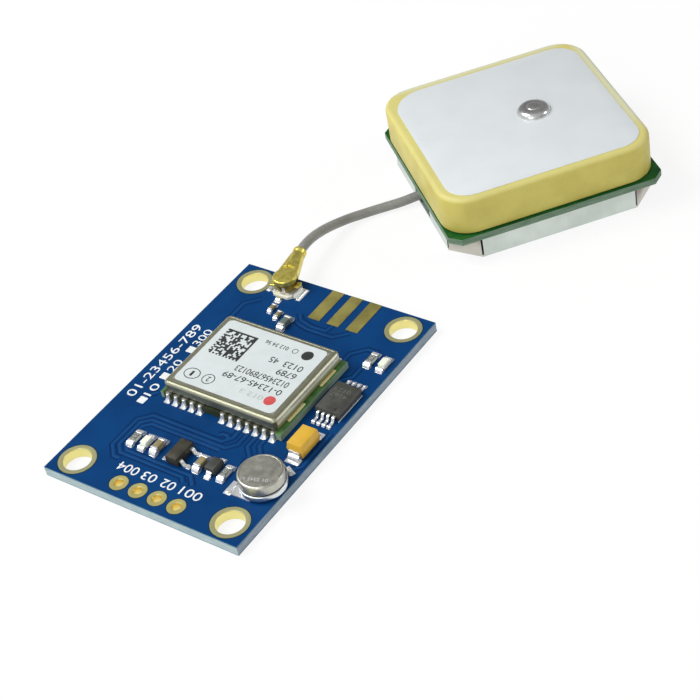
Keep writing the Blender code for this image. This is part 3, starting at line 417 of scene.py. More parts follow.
def lid_paint(place):
    x, y, z = place.axes()
    across, along = abs(x - MODULE_X0 * MM), abs(y - MODULE_Y0 * MM)
    margin = (across > (LID_W / 2 - 0.80) * MM).most(along > (LID_D / 2 - 0.85) * MM)
    rim = margin * (z > (LID_TOP - 0.06) * MM)
    wall = z < (LID_TOP - LID_EDGE) * MM
    shaded_long_edges = along > (LID_D / 2 - LID_EDGE + 0.05) * MM
    lit_short_walls = wall * (across > (LID_W / 2 - 0.04) * MM)
    height = z.ramp((LID_TOP - 1.0) * MM, (LID_TOP - 0.60) * MM)
    cloud = place.noise(3.0 * MM, 3.0).ramp(0.3, 0.7)
    rolled = place.stretched(0.10, 1.0, 1.0).noise(0.25 * MM, 3.0, 0.6)
    sheet = (cloud * 0.4 + rolled * 0.6).mix((0.48, 0.475, 0.355), (0.66, 0.655, 0.52))
    # The narrow rim between the label and the rounded edge is painted a darker olive.
    sheet = (rim * 0.65).mix(sheet, (0.20, 0.20, 0.125))
    # Painted shade on the two long edges and their walls lowers their highlight and reflection.
    sheet = (shaded_long_edges * (wall * 0.35 + 0.48)).mix(sheet, (0.17, 0.18, 0.115))
    # Painted light on the short walls: a pale painted highlight above, painted shade tinted yellow
    # near the board.
    sheet = (lit_short_walls * 0.85).mix(sheet, height.mix((0.36, 0.35, 0.13), (0.98, 0.98, 0.80)))
    return {"Base Color": sheet,
            "Metallic": 0.85 - lit_short_walls * 0.45,
            "Roughness": cloud * 0.06 + rolled * 0.10 + 0.34}


nickel_silver = finish("nickel_silver", lid_paint, {})

# %% [markdown]
# ## Gold on the plug
# The plug's stamping is bright gold on top, and round its skirt, down in the gap above the socket,
# it carries painted shade in deep brown. The mask for the skirt is a distance from the socket's
# middle together with the height.

# %% Plug finish
SOCKET_AT = (-5.65, 15.85)
SKIRT_REACH, SKIRT_TOP = 1.34, 2.83


def plug_paint(place):
    x, y, z = place.axes()
    near = rounded(x - SOCKET_AT[0] * MM, y - SOCKET_AT[1] * MM) < SKIRT_REACH * MM
    skirt = near * (z < SKIRT_TOP * MM)
    dents = place.noise(0.45 * MM, 2.0)
    marks = place.noise(0.10 * MM, 3.0, 0.6)
    bright = (dents * 0.6 + marks * 0.4).ramp(0.25, 0.75).mix((0.56, 0.45, 0.055), (0.90, 0.79, 0.22))
    # Painted shade in deep brown round the skirt.
    skirt_shade = marks.mix((0.20, 0.135, 0.020), (0.42, 0.31, 0.060))
    return {"Base Color": skirt.mix(bright, skirt_shade),
            "Roughness": marks * 0.14 + 0.27,
            "Normal": (dents * 0.95 + marks * 0.05).bumps(0.035 * MM, 0.6)}


plug_gold = finish("plug_gold", plug_paint, {"Metallic": 0.80})

# %% [markdown]
# ## Moulded and fired parts
# Epoxy packages, plastic, ceramic, paper and ink aren't metals. Each is a base tone that drifts a
# little, with a finer speckle in it, and a shallow grain that breaks the gloss. One function makes
# them all from two tones, a roughness and the size of the grain.

# %% Moulded, fired and paper finishes
def moulded(name, dark, light, rough, grain, depth=0.004, **more):
    """A non-metal between two tones, with speckles of the size grain."""
    def paint(place):
        patch = place.noise(15 * grain, 2.0).ramp(0.3, 0.7)
        speck = place.noise(grain, 3.0, 0.6)
        return {"Base Color": (patch * 0.5 + speck * 0.5).mix(dark, light),
                "Roughness": speck * 0.16 + (rough - 0.08),
                "Normal": speck.bumps(depth * MM, 0.7)}
    constants = {"metallic": "Metallic", "shine": "Specular IOR Level"}
    return finish(name, paint, {constants[k]: v for k, v in more.items()})


black_epoxy = moulded("black_epoxy", (0.012, 0.011, 0.007), (0.058, 0.053, 0.032), 0.45, 0.07 * MM)
grey_epoxy = moulded("grey_epoxy", (0.030, 0.031, 0.027), (0.075, 0.078, 0.068), 0.45, 0.06 * MM)
white_plastic = moulded("white_plastic", (0.66, 0.65, 0.56), (0.84, 0.83, 0.76), 0.42, 0.10 * MM)
amber_epoxy = moulded("amber_epoxy", (0.60, 0.34, 0.022), (0.76, 0.47, 0.050), 0.40, 0.15 * MM)
tan_ceramic = moulded("tan_ceramic", (0.19, 0.155, 0.070), (0.33, 0.28, 0.14), 0.45, 0.08 * MM)
label_paper = moulded("label_paper", (0.59, 0.64, 0.645), (0.66, 0.71, 0.715), 0.50, 0.10 * MM)
silver_face = moulded("silver_face", (0.68, 0.72, 0.735), (0.73, 0.77, 0.785), 0.42, 0.25 * MM,
                      metallic=0.12)
cream_plastic = moulded("cream_plastic", (0.66, 0.64, 0.50), (0.82, 0.80, 0.66), 0.40, 0.10 * MM)
grey_film = moulded("grey_film", (0.075, 0.085, 0.070), (0.17, 0.185, 0.160), 0.45, 0.12 * MM)
dark_tape = moulded("dark_tape", (0.05, 0.05, 0.045), (0.10, 0.10, 0.09), 0.75, 0.20 * MM)
white_ink = moulded("white_ink", (0.70, 0.74, 0.76), (0.88, 0.90, 0.90), 0.55, 0.06 * MM)
faded_white = moulded("faded_white", (0.36, 0.39, 0.37), (0.58, 0.61, 0.58), 0.55, 0.06 * MM)
red_ink = moulded("red_ink", (0.50, 0.045, 0.050), (0.66, 0.10, 0.10), 0.55, 0.06 * MM)
grey_ceramic = moulded("grey_ceramic", (0.085, 0.115, 0.100), (0.20, 0.25, 0.22), 0.45, 0.10 * MM)
black_ink = moulded("black_ink", (0.010, 0.012, 0.012), (0.040, 0.045, 0.045), 0.55, 0.06 * MM)
blue_ridge = moulded("blue_ridge", (0.003, 0.046, 0.165), (0.005, 0.062, 0.205), 0.45, 0.15 * MM,
                     shine=0.08)
blue_gap = moulded("blue_gap", (0.0012, 0.022, 0.090), (0.0025, 0.032, 0.125), 0.50, 0.20 * MM,
                   shine=0.05)
faded_ink = moulded("faded_ink", (0.08, 0.08, 0.075), (0.15, 0.15, 0.14), 0.55, 0.05 * MM)
lens_resin = moulded("lens_resin", (0.78, 0.82, 0.68), (0.92, 0.95, 0.84), 0.25, 0.12 * MM)

# %% [markdown]
# ## The antenna's green board
# The antenna lies at a slant, so its materials first turn the place back to the antenna's own axes.
# There a mask of distances finds the board's cut edge, which is grey-green laminate in thin layers,
# while its two faces are a clouded green lacquer.

# %% Antenna board finish
ANTENNA_AT = Vector((6.885, 45.98, 0.0)) * MM
ANTENNA_TURN = 51.5
PATCH_BOARD = 25.7 * MM
PATCH_CORNER = 1.24 * MM


def own_axes(place):
    """The distances from the antenna's middle along its two sides, and the height."""
    x, y, z = place.axes()
    east, north = x - ANTENNA_AT.x, y - ANTENNA_AT.y
    c, s = math.cos(math.radians(ANTENNA_TURN)), math.sin(math.radians(ANTENNA_TURN))
    return east * c + north * s, north * c - east * s, z


def patch_board_paint(place):
    u, v, _ = own_axes(place)
    far = abs(u).most(abs(v))
    cut_edge = (far > PATCH_BOARD / 2 - EDGE_TRIM).most(
        abs(u) + abs(v) > PATCH_BOARD - PATCH_CORNER - EDGE_TRIM)
    cloud = place.noise(1.5 * MM, 3.0).ramp(0.3, 0.7)
    lacquer = cloud.mix((0.006, 0.075, 0.012), (0.014, 0.115, 0.020))
    layers = place.stretched(0.25, 0.25, 5.0).noise(0.5 * MM, 3.0).ramp(0.3, 0.7)
    laminate = layers.mix((0.090, 0.170, 0.100), (0.190, 0.265, 0.200))
    return {"Base Color": cut_edge.mix(lacquer, laminate),
            "Roughness": cut_edge * 0.25 + cloud * 0.08 + 0.36,
            "Normal": layers.bumps(0.01 * MM, 0.3)}


patch_board_green = finish("patch_board_green", patch_board_paint, {"Specular IOR Level": 0.2})

# %% [markdown]
# ## The tinned can
# The can under that board is tinned steel, with upright wipe marks on its walls. The same axes find
# its bevelled corners, which are a warmer grey than the long walls and carry painted shade that
# darkens them the nearer they are to the board, which shades them.

# %% Can finish
CAN_SIDE, CAN_CORNER, CAN_TOP = 24.9 * MM, 3.1 * MM, 2.7 * MM


def can_paint(place):
    u, v, z = own_axes(place)
    corner = abs(u) + abs(v) > CAN_SIDE - CAN_CORNER - 0.05 * MM
    wipe = place.stretched(1.0, 1.0, 0.2).noise(0.45 * MM, 4.0, 0.6)
    broad = place.noise(3.5 * MM, 2.0).ramp(0.3, 0.7)
    # Painted shade on the bevelled corners, darker towards the board above them.
    shade = (z / CAN_TOP) * 0.9 + broad * 0.4
    tinned = (wipe * 0.5 + broad * 0.5).mix((0.51, 0.57, 0.52), (0.69, 0.75, 0.70))
    corner_shade = shade.ramp(0.35, 1.1).mix((0.58, 0.56, 0.50), (0.22, 0.21, 0.17))
    return {"Base Color": corner.mix(tinned, corner_shade),
            "Roughness": wipe * 0.20 + 0.28,
            "Normal": wipe.bumps(0.004 * MM, 0.6)}


can_steel = finish("can_steel", can_paint, {"Metallic": 0.8})

# %% [markdown]
# ## The module's green board
# The receiver module's board lies square to the axes and needs no turn. It is green beside the lid
# and pale at its cut edges. Between the pads of its two long sides its margin and the cut face there
# are painted dark: painted shade of the lid.

# %% Module board finish
MODULE_W, MODULE_D = 16.0, 12.2
SIDE_PADS = 7.45


def module_board_paint(place):
    x, y, _ = place.axes()
    ends = (abs(y - MODULE_Y0 * MM) > (MODULE_D / 2 - 0.52) * MM) * (abs(x) < SIDE_PADS * MM)
    side = (abs(x - MODULE_X0 * MM) > (MODULE_W / 2 - 0.02) * MM).most(
        abs(y - MODULE_Y0 * MM) > (MODULE_D / 2 - 0.02) * MM)
    cloud = place.noise(0.8 * MM, 3.0).ramp(0.3, 0.7)
    speck = place.noise(0.12 * MM, 3.0, 0.6)
    lacquer = (cloud * 0.6 + speck * 0.4).mix((0.042, 0.120, 0.028), (0.110, 0.250, 0.080))
    # Painted shade of the lid on the margins between the pads.
    lid_shade = (cloud * 0.4 + speck * 0.6).mix((0.012, 0.024, 0.008), (0.055, 0.062, 0.030))
    edge = speck.mix((0.150, 0.240, 0.160), (0.340, 0.440, 0.340))
    return {"Base Color": ends.mix(side.mix(lacquer, edge), lid_shade),
            "Roughness": speck * 0.15 + 0.38,
            "Normal": speck.bumps(0.006 * MM, 0.5)}


module_green = finish("module_green", module_board_paint, {"Specular IOR Level": 0.2})

# %% [markdown]
# ## The fired ceramic
# The patch is a glazed block with a painted highlight along its rounded top edge, palest at the two
# far sides. The height gives that band, which fades in over less than half a millimetre, and the
# antenna's own axes give the two sides.

# %% Ceramic finish
PATCH_LOW, PATCH_TOP = 3.63, 8.23


def ceramic_paint(place):
    u, v, z = own_axes(place)
    # A painted highlight along the rounded top edge, palest at the two far sides.
    rim_highlight = z.ramp((PATCH_TOP - 0.55) * MM, (PATCH_TOP - 0.15) * MM)
    right = u.ramp(11.0 * MM, 12.0 * MM) * v.ramp(-10.5 * MM, -6.0 * MM)
    far_sides = right.most(v.ramp(11.0 * MM, 12.0 * MM))
    patch = place.noise(3.3 * MM, 2.0).ramp(0.3, 0.7)
    speck = place.noise(0.22 * MM, 3.0, 0.6)
    body = (patch * 0.5 + speck * 0.5).mix((0.49, 0.415, 0.078), (0.63, 0.550, 0.130))
    rim = far_sides.mix((0.66, 0.610, 0.240), (0.64, 0.650, 0.460))
    return {"Base Color": (rim_highlight * (far_sides * 0.35 + 0.6)).mix(body, rim),
            "Roughness": speck * 0.16 + 0.42,
            "Normal": speck.bumps(0.004 * MM, 0.7)}


cream_ceramic = finish("cream_ceramic", ceramic_paint, {})

# %% [markdown]
# ## The sheath of the cable
# A thin fluoropolymer sheath is smooth and grey, and the braid under it shows through as a faint
# cross-hatch. Two waves at a slant make the hatch, and the sheath's own gloss stays on top of it.

# %% Sheath finish
BRAID_ALONG, BRAID_ACROSS = 0.42 * MM, 0.36 * MM


def sheath_paint(place):
    x, y, z = place.axes()
    slant = ((x + y) * (math.tau / BRAID_ALONG)).math("SINE")
    cross = ((y - z * 1.5) * (math.tau / BRAID_ACROSS)).math("SINE")
    cloud = place.noise(1.5 * MM, 2.0)
    hatch = slant * cross * 0.5 + 0.5
    tone = hatch * 0.35 + cloud * 0.65
    return {"Base Color": tone.mix((0.175, 0.178, 0.168), (0.32, 0.32, 0.300)),
            "Roughness": cloud * 0.15 + 0.30,
            "Normal": hatch.bumps(0.004 * MM, 0.5)}


sheath = finish("sheath", sheath_paint, {})
lead.materials.append(sheath)
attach(cable, "root")
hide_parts("coax_cable")

# %% [markdown]
# ## Finishes on the solids
# Each solid of the frame keeps its mesh and gets one of the finishes above, chosen by the first words
# of its name. Where two entries fit, the longer one counts. What a later step models anew is hidden
# then.

# %% Dress the solids
DRESS = {
    "circuit_board": blue_mask, "mounting_hole": gold_plate, "header_pad": pad_gold,
    "edge_pad": dull_gold, "module_board": module_green, "module_shield": nickel_silver,
    "module_shield_frame": shaded_frame_nickel, "module_label": label_paper,
    "receiver_chip": black_epoxy, "crystal": nickel_silver, "receiver_filter": white_plastic,
    "coax_socket_base": white_plastic, "coax_socket_shell": tin_plate,
    "coax_socket_pin": pad_gold, "coax_plug_shell": plug_gold,
    "coax_plug_insulator": white_plastic, "coax_plug_contact": pad_gold, "coax_cable": sheath,
    "memory_chip": grey_epoxy, "voltage_regulator": black_epoxy, "diode": black_epoxy,
    "tantalum_body": amber_epoxy, "tantalum_terminal": tin_plate, "resistor": black_epoxy,
    "capacitor": tan_ceramic, "matching_part": tan_ceramic, "status_led": white_plastic,
    "cell_gasket": black_epoxy, "cell_tab": tin_plate, "cell_c": cell_steel,
    "antenna_shield": can_steel, "antenna_board": patch_board_green, "antenna_adhesive": dark_tape,
    "antenna_ceramic": cream_ceramic, "antenna_electrode": silver_face,
    "antenna_feed_pin": solder, "amplifier_chip": black_epoxy, "antenna_filter": nickel_silver,
    "coax_solder": solder}
for name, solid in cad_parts.items():
    start = max((s for s in DRESS if name.startswith(s)), key=len)
    solid.data.materials.clear()
    solid.data.materials.append(DRESS[start])
print(len(set(DRESS.values())), "finishes on", len(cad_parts), "solids")

# %% [markdown]
# ## A primitive in its place
# The small parts below are made as by hand, and each starts as a block or a drum that is put down at
# its size and place. An operator acts on all that is selected, so everything is deselected first, and
# the place is then moved from the object into its mesh.

# %% Starting shapes
def alone(*pieces):
    """Selects these objects and nothing else, the first of them active, or nothing at all."""
    bpy.ops.object.select_all(action="DESELECT")
    for piece in pieces:
        piece.select_set(True)
    if pieces:
        bpy.context.view_layer.objects.active = pieces[0]


def placed(piece=None):
    """Puts the place, turn and size of a piece, or of the newest object, into its mesh."""
    piece = piece or bpy.context.active_object
    alone(piece)
    bpy.ops.object.transform_apply(location=True, rotation=True, scale=True)
    return piece


def box(centre, size):
    """A block from its centre and size in mm."""
    alone()
    bpy.ops.mesh.primitive_cube_add(size=1.0, location=Vector(centre) * MM, scale=Vector(size) * MM)
    return placed()


def drum(centre, radius, low, high, sides, caps="NGON"):
    """An upright cylinder, in mm."""
    alone()
    place = Vector((centre[0], centre[1], (low + high) / 2)) * MM
    bpy.ops.mesh.primitive_cylinder_add(vertices=sides, radius=radius * MM, depth=(high - low) * MM,
                                        end_fill_type=caps, location=place)
    return placed()

# %% [markdown]
# ## Select, then shape
# Shaping by hand means to select some faces, edges or points and to run an edit operator on them.
# This helper does the selecting in code, by the middle and the direction of each one, and then runs
# one step after another on what is selected.

# %% Edit mode
def edit(piece, kind, wanted, *steps):
    """Selects what wanted(middle in mm, direction) accepts and runs the edit steps on it."""
    alone(piece)
    bpy.ops.object.mode_set(mode="EDIT")
    bpy.ops.mesh.select_mode(type=kind)
    bpy.ops.mesh.select_all(action="DESELECT")
    bpy.ops.object.mode_set(mode="OBJECT")
    points = piece.data.vertices
    if kind == "FACE":
        for face in piece.data.polygons:
            face.select = wanted(face.center / MM, face.normal)
    if kind == "EDGE":
        for line in piece.data.edges:
            a, b = (points[i].co for i in line.vertices)
            line.select = wanted((a + b) / (2 * MM), (b - a).normalized())
    if kind == "VERT":
        for point in points:
            point.select = wanted(point.co / MM, point.normal)
    bpy.ops.object.mode_set(mode="EDIT")
    for step in steps:
        step()
    bpy.ops.object.mode_set(mode="OBJECT")
    return piece

# %% [markdown]
# ## Tests and steps with short names
# The usual tests find upright edges, or level edges at one height. The usual steps are a bevel, a
# cut by a plane, an inset and a change of size. Each step is handed over as a small function,
# because it may only run once its faces or edges are selected.

# %% Tests and steps
def everything(middle, direction):
    """Accepts all of them."""
    return True


def upright(middle, direction):
    """Accepts upright edges."""
    return abs(direction.z) > 0.9


def level_at(height):
    """Accepts level edges at that height, in mm."""
    return lambda middle, direction: abs(middle.z - height) < 0.001 and abs(direction.z) < 0.1


def round_off(width, steps, profile=0.5):
    """A bevel step of that width in mm."""
    return lambda: bpy.ops.mesh.bevel(offset=width * MM, segments=steps, profile=profile,
                                      affect="EDGES", clamp_overlap=True)


def round_corners(piece, width, steps):
    """Bevels a piece's upright edges."""
    return edit(piece, "EDGE", upright, round_off(width, steps))


def round_rim(piece, height, width, steps):
    """Bevels a piece's level edges at a height."""
    return edit(piece, "EDGE", level_at(height), round_off(width, steps))


def bisected(point, normal):
    """A step that cuts new edges in a plane, from a point of it and its normal."""
    return lambda: bpy.ops.mesh.bisect(plane_co=point, plane_no=normal)


def sunk(thickness, depth=0.0):
    """An inset step, in mm, that may also raise or sink what is inside it."""
    return lambda: bpy.ops.mesh.inset(thickness=thickness * MM, depth=depth * MM)


def sized(value, centre):
    """A scaling step about a centre in mm."""
    return lambda: bpy.ops.transform.resize(value=value, center_override=Vector(centre) * MM)

# %% [markdown]
# ## Modifiers, applied at once
# Modifiers are applied as soon as they are set, so that every piece ends as a plain mesh. Two shapes
# are cut or united by the exact Boolean solver, which also copes with faces that meet.

# %% Modifiers
def modify(piece, kind, **settings):
    """Adds a modifier and applies it at once."""
    alone(piece)
    modifier = piece.modifiers.new(kind.lower(), kind)
    for name, value in settings.items():
        setattr(modifier, name, value)
    bpy.ops.object.modifier_apply(modifier=modifier.name)
    return piece


def combined(piece, tool, operation):
    """Cuts a tool out of a piece or unites them, and deletes the tool."""
    modify(piece, "BOOLEAN", operation=operation, solver="EXACT", object=tool)
    bpy.data.objects.remove(tool)

# %% [markdown]
# ## Copies of what repeats
# What repeats is modelled once at the origin and copied to its places, each copy with its own mesh.
# The copies are then joined into one piece, as they share one finish.

# %% Copies
def joined(pieces):
    """Several meshes as one."""
    alone(*pieces)
    if len(pieces) > 1:
        bpy.ops.object.join()
    return bpy.context.active_object


def copied(model, places):
    """Copies of a model from the origin, at (x, y) or (x, y, turn in degrees), joined into one."""
    made = []
    for x, y, *turn in places:
        alone(model)
        bpy.ops.object.duplicate()
        copy = bpy.context.active_object
        copy.location = Vector((x, y, 0.0)) * MM
        copy.rotation_euler.z = math.radians(sum(turn))
        made.append(placed())
    bpy.data.objects.remove(model)
    return joined(made)

# %% [markdown]
# ## From a shape to a finished piece
# This helper gives a piece its name and its finish, and lets it ride on the part. Faces
# that meet at a small angle are shaded as one smooth surface, and sharper folds stay sharp.

# %% Finished pieces
def keep(piece, name, material, slot, *nodes, angle=35):
    """Names and shades a finished piece, gives it its finish and lets it ride on the part."""
    alone(piece)
    bpy.ops.object.shade_smooth_by_angle(angle=math.radians(angle))
    piece.name = piece.data.name = name
    piece.data.materials.clear()
    piece.data.materials.append(material)
    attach(piece, "root")
    if nodes:
        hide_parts(*nodes)
    print(name, len(piece.data.polygons), "faces")
    return piece

# %% [markdown]
# ## Plated holes
# A plated hole is an eyelet: a barrel through the board with a thin ring on each face. An open
# cylinder is its barrel, its two rims are extruded and scaled outwards into the rings, and the bend
# between them is bevelled, so that light runs round the hole's lip. Solidify gives the metal its
# thickness.

# %% Eyelets
BOARD_T = 1.2
PROUD, PLATE_T = 0.02, 0.05
HOLE_BORE, HOLE_RING = 1.55, 2.08
PIN_BORE, PIN_RING = 0.5, 1.02


def eyelet(x, y, bore, ring, sides):
    """A plated hole from its middle and the radii of its bore and its rings, in mm."""
    low, high = 0.0, BOARD_T + PROUD
    made = drum((x, y), bore, low, high, sides, caps="NOTHING")
    for height in (low, high):
        edit(made, "EDGE", level_at(height), bpy.ops.mesh.extrude_region_move,
             sized((ring / bore, ring / bore, 1.0), (x, y, height)))
    lip = bore + 0.02
    edit(made, "EDGE", lambda m, d: math.hypot(m.x - x, m.y - y) < lip and abs(d.z) < 0.1,
         round_off(0.07, 4))
    edit(made, "FACE", everything, bpy.ops.mesh.flip_normals)
    return modify(made, "SOLIDIFY", thickness=PLATE_T * MM, offset=-1.0)


for i, (x, y) in enumerate([(-1, -1), (1, -1), (-1, 1), (1, 1)], 1):
    keep(eyelet(x * HOLE_X, y * HOLE_Y, HOLE_BORE, HOLE_RING, 72), f"screw_eyelet_{i}", gold_plate,
         "gold", f"mounting_hole_plating_{i}")
for i in range(4):
    keep(eyelet((i - 1.5) * PIN_PITCH, -PIN_Y, PIN_BORE, PIN_RING, 40), f"pin_eyelet_{i + 1}",
         pad_gold, "gold", f"header_pad_{i + 1}")

# %% [markdown]
# ## Copper tracks under the lacquer
# Tracks are flat copper strips, 0.4 mm wide, that show as soft ridges because the lacquer flows over
# them. A poly curve with a round bevel follows each route, becomes a mesh, and is then pressed nearly
# flat, which leaves just such a soft ridge. Tracks turn by 45 degrees, as they do on every board. The
# lacquer lies thinner and looks darker in a narrow band on both sides of a track, so a second set of
# ridges along the same routes, twice as wide and lower, carries a darker blue.

# %% Tracks
def ridge(route, width, height):
    """A flattened tube along the points of a route, in mm, on the board's face."""
    curve = bpy.data.curves.new("ridge", "CURVE")
    curve.dimensions = "3D"
    curve.bevel_depth = width / 2 * MM
    curve.bevel_resolution = 3
    curve.use_fill_caps = True
    line = curve.splines.new("POLY")
    line.points.add(len(route) - 1)
    for point, (x, y) in zip(line.points, route):
        point.co = (x * MM, y * MM, 0.0, 1.0)
    made = bpy.data.objects.new("ridge", curve)
    bpy.context.collection.objects.link(made)
    alone(made)
    bpy.ops.object.convert(target="MESH")
    made = bpy.context.active_object
    made.scale.z = height / (width / 2)
    made.location.z = TOP
    return placed()


TRACKS = (
    ((3.1, -4.7), (3.1, -6.0), (2.3, -6.85), (-6.9, -6.85), (-8.15, -8.1), (-8.15, -12.2),
     (-6.9, -13.45), (-6.1, -13.45)),
    ((4.2, -4.7), (4.2, -6.5), (3.25, -7.45), (-6.6, -7.45), (-7.5, -8.35), (-7.5, -11.85),
     (-6.6, -12.75), (1.7, -12.75), (2.3, -13.35)),
    ((5.3, -4.7), (5.3, -6.3), (6.4, -7.4), (6.4, -8.6)),
    ((6.4, -4.7), (6.4, -5.7), (7.5, -6.9)),
    ((2.9, -7.95), (-6.2, -7.95), (-6.95, -8.7), (-6.95, -11.45), (-6.2, -12.2), (2.4, -12.2),
     (3.5, -13.3)),
    ((1.5, -6.2), (1.8, -5.9), (2.4, -5.9), (2.7, -6.2)),
    ((-1.9, 13.0), (-1.2, 12.3), (0.4, 11.9), (2.4, 11.9), (2.6, 12.9)),
    ((-2.4, 12.7), (-1.5, 11.8), (0.3, 11.35), (3.6, 11.35), (5.1, 12.7)),
    ((7.0, 8.4), (7.0, 9.9), (8.4, 11.3), (9.8, 11.3)),
    ((-9.0, 8.6), (-9.0, 12.0), (-7.6, 13.4)),
    ((8.3, 5.9), (9.4, 7.0), (9.4, 8.5)),
    ((11.5, -7.0), (12.2, -6.3), (12.2, -1.0)),
    ((-9.3, -4.4), (-8.7, -3.8)),
)
for name, width, height, material in (("copper_tracks", 0.40, 0.035, blue_ridge),
                                      ("track_gaps", 0.88, 0.010, blue_gap)):
    keep(joined([ridge(route, width, height) for route in TRACKS]), name, material, "mask_blue",
         angle=60)

# %% [markdown]
# ## Solder at the module's edge
# The receiver module stands on half holes cut through its edge, and solder climbs in each from a pad
# on the board. One joint is modelled and copied: a short cylinder fills the half hole, it is cut into
# rings, and the rings' outer points are pulled out further the lower they lie, in a hollow curve, and
# are spread a little. A flat pad on the module's face goes with each.

# %% Castellation joints
MODULE_FACE = 2.05
JOINT_LEVELS = (0.08, 0.18, 0.32, 0.50, 0.70)
JOINT_R, JOINT_REACH, JOINT_SPREAD = 0.21, 0.36, 0.8
JOINT_PAD = (0.74, 1.04, 0.024)
JOINT_FIRST, JOINT_PITCH = 7.0, 1.1


def climbing_joint():
    """One joint and its pad at the origin, with the module's edge towards +y."""
    low, high = BOARD_T, MODULE_FACE + 0.03
    made = drum((0.0, 0.0), JOINT_R, low, high, 16)
    tall = high - low
    for share in JOINT_LEVELS:
        spot = (0.0, 0.0, (low + share * tall) * MM)
        edit(made, "FACE", everything, bisected(spot, (0.0, 0.0, 1.0)))
    for share in (0.0, *JOINT_LEVELS):
        height = low + share * tall
        pull = JOINT_REACH * (1 - share) ** 2.2 * MM
        edit(made, "VERT", lambda p, n: abs(p.z - height) < 0.01 and p.y < -0.05,
             lambda: bpy.ops.transform.translate(value=(0.0, -pull, 0.0)),
             sized((1 + JOINT_SPREAD * (1 - share) ** 2, 1.0, 1.0), (0.0, 0.0, 0.0)))
    round_rim(made, high, 0.05, 3)
    pad = box((0.0, -0.12, BOARD_T + JOINT_PAD[2] / 2), JOINT_PAD)
    round_corners(pad, 0.12, 4)
    return joined([made, pad])


def castellations():
    """The x of every half hole along one long side of the module."""
    left = [-JOINT_FIRST + JOINT_PITCH * i for i in range(5)]
    right = [JOINT_FIRST - JOINT_PITCH * i for i in range(7)]
    return [MODULE_X0 + x for x in left + right]


rows = {"front": [(x, MODULE_Y0 - MODULE_D / 2, 0) for x in castellations()],
        "rear": [(x, MODULE_Y0 + MODULE_D / 2, 180) for x in castellations()]}
for row, spots in rows.items():
    keep(copied(climbing_joint(), spots), f"module_solder_{row}", solder, "tin", angle=60)
half_pad = box((0.0, 0.24, MODULE_FACE + 0.012), (0.68, 0.50, 0.035))
round_corners(half_pad, 0.06, 2)
keep(copied(half_pad, rows["front"] + rows["rear"]), "module_rim_pads", tan_pad, "gold")

# %% [markdown]
# ## The module's lid
# The lid is drawn from thin nickel silver: flat, round along its rim and slit at its four corners. A
# block with its upright edges and then its rim bevelled has that form. Insets down and up again press
# a fine groove into its top. Without its underside, and with Solidify's wall, it becomes a real
# shell, and four turned blocks cut the slits.

# %% Lid of the module
LID_SKIRT, LID_SHEET = 1.20, 0.15
SLIT_WIDE, SLIT_DROP = 0.28, 0.34
lid = box((MODULE_X0, MODULE_Y0, LID_TOP - LID_SKIRT / 2), (LID_W, LID_D, LID_SKIRT))
round_corners(lid, 0.6, 8)
round_rim(lid, LID_TOP, LID_EDGE, 7)
edit(lid, "FACE", lambda m, n: n.z > 0.99, sunk(0.03), sunk(0.06, -0.05), sunk(0.05, 0.04))
edit(lid, "FACE", lambda m, n: n.z < -0.9, lambda: bpy.ops.mesh.delete(type="FACE"))
modify(lid, "SOLIDIFY", thickness=LID_SHEET * MM, offset=-1.0)
for sx in (-1, 1):
    for sy in (-1, 1):
        slit = box((0.0, 0.0, LID_TOP - SLIT_DROP - 0.5), (2.4, SLIT_WIDE, 1.0))
        slit.rotation_euler.z = math.radians(45 * sx * sy)
        slit.location = Vector((MODULE_X0 + sx * LID_W / 2, MODULE_Y0 + sy * LID_D / 2, 0.0)) * MM
        combined(lid, slit, "DIFFERENCE")
keep(lid, "module_lid", nickel_silver, "shield_nickel", "module_shield_lid", angle=50)

# %% [markdown]
# ## Gilded strips on the module's margin
# Beside the lid's short walls the module's own green board shows a narrow margin with short gilded
# strips, at the foot of its shield frame. They are thin bars with rounded corners and rounded tops,
# which catch the light like drops.

# %% Strips on the module's margin
STRIP_OUT, STRIP_WIDE, STRIP_T = 7.51, 0.36, 0.08
STRIP_Z = MODULE_FACE + 0.03
strips = []
for side, y, long in ((1, -0.65, 2.9), (1, 5.05, 2.7), (-1, 3.4, 3.2), (-1, -1.6, 2.6)):
    strip = box((MODULE_X0 + side * STRIP_OUT, y, STRIP_Z), (STRIP_WIDE, long, STRIP_T))
    round_corners(strip, 0.08, 3)
    strips.append(round_rim(strip, STRIP_Z + STRIP_T / 2, 0.04, 3))
keep(joined(strips), "module_margin_strips", strip_gold, "gold")

# %% [markdown]
# ## The button cell
# The cell is a cap crimped over a case with a dark gasket between them. Each is round about one
# upright axis, so each is a drum with its rims bevelled. The cap also has a shallow ring, made by an
# inset that is pushed down a little, because a perfectly flat disc would catch no light at its edge.

# %% Button cell
CELL = (10.25, -10.06)
CASE_R, CAP_R, SEAL_R = 2.54, 2.45, 2.42
case_low = BOARD_T + 0.16
case_top = case_low + 0.72
case = drum(CELL, CASE_R, case_low, case_top, 96)
round_rim(case, case_low, 0.22, 5)
round_rim(case, case_top, 0.10, 4)
keep(case, "cell_cup", case_steel, "cell_steel", "cell_case")
cap_low, cap_top = case_low + 0.86, case_low + 1.99
cap = drum(CELL, CAP_R, cap_low, cap_top, 96)
round_rim(cap, cap_top, 0.26, 6)
round_rim(cap, cap_low, 0.08, 3)
edit(cap, "FACE", lambda m, n: n.z > 0.99, sunk(0.05), sunk(0.06, -0.03))
keep(cap, "cell_lid", cell_steel, "cell_steel", "cell_cap")
gasket = drum(CELL, SEAL_R, case_low + 0.70, cap_low + 0.02, 64)
keep(gasket, "cell_seal", black_epoxy, "moulded_black", "cell_gasket")

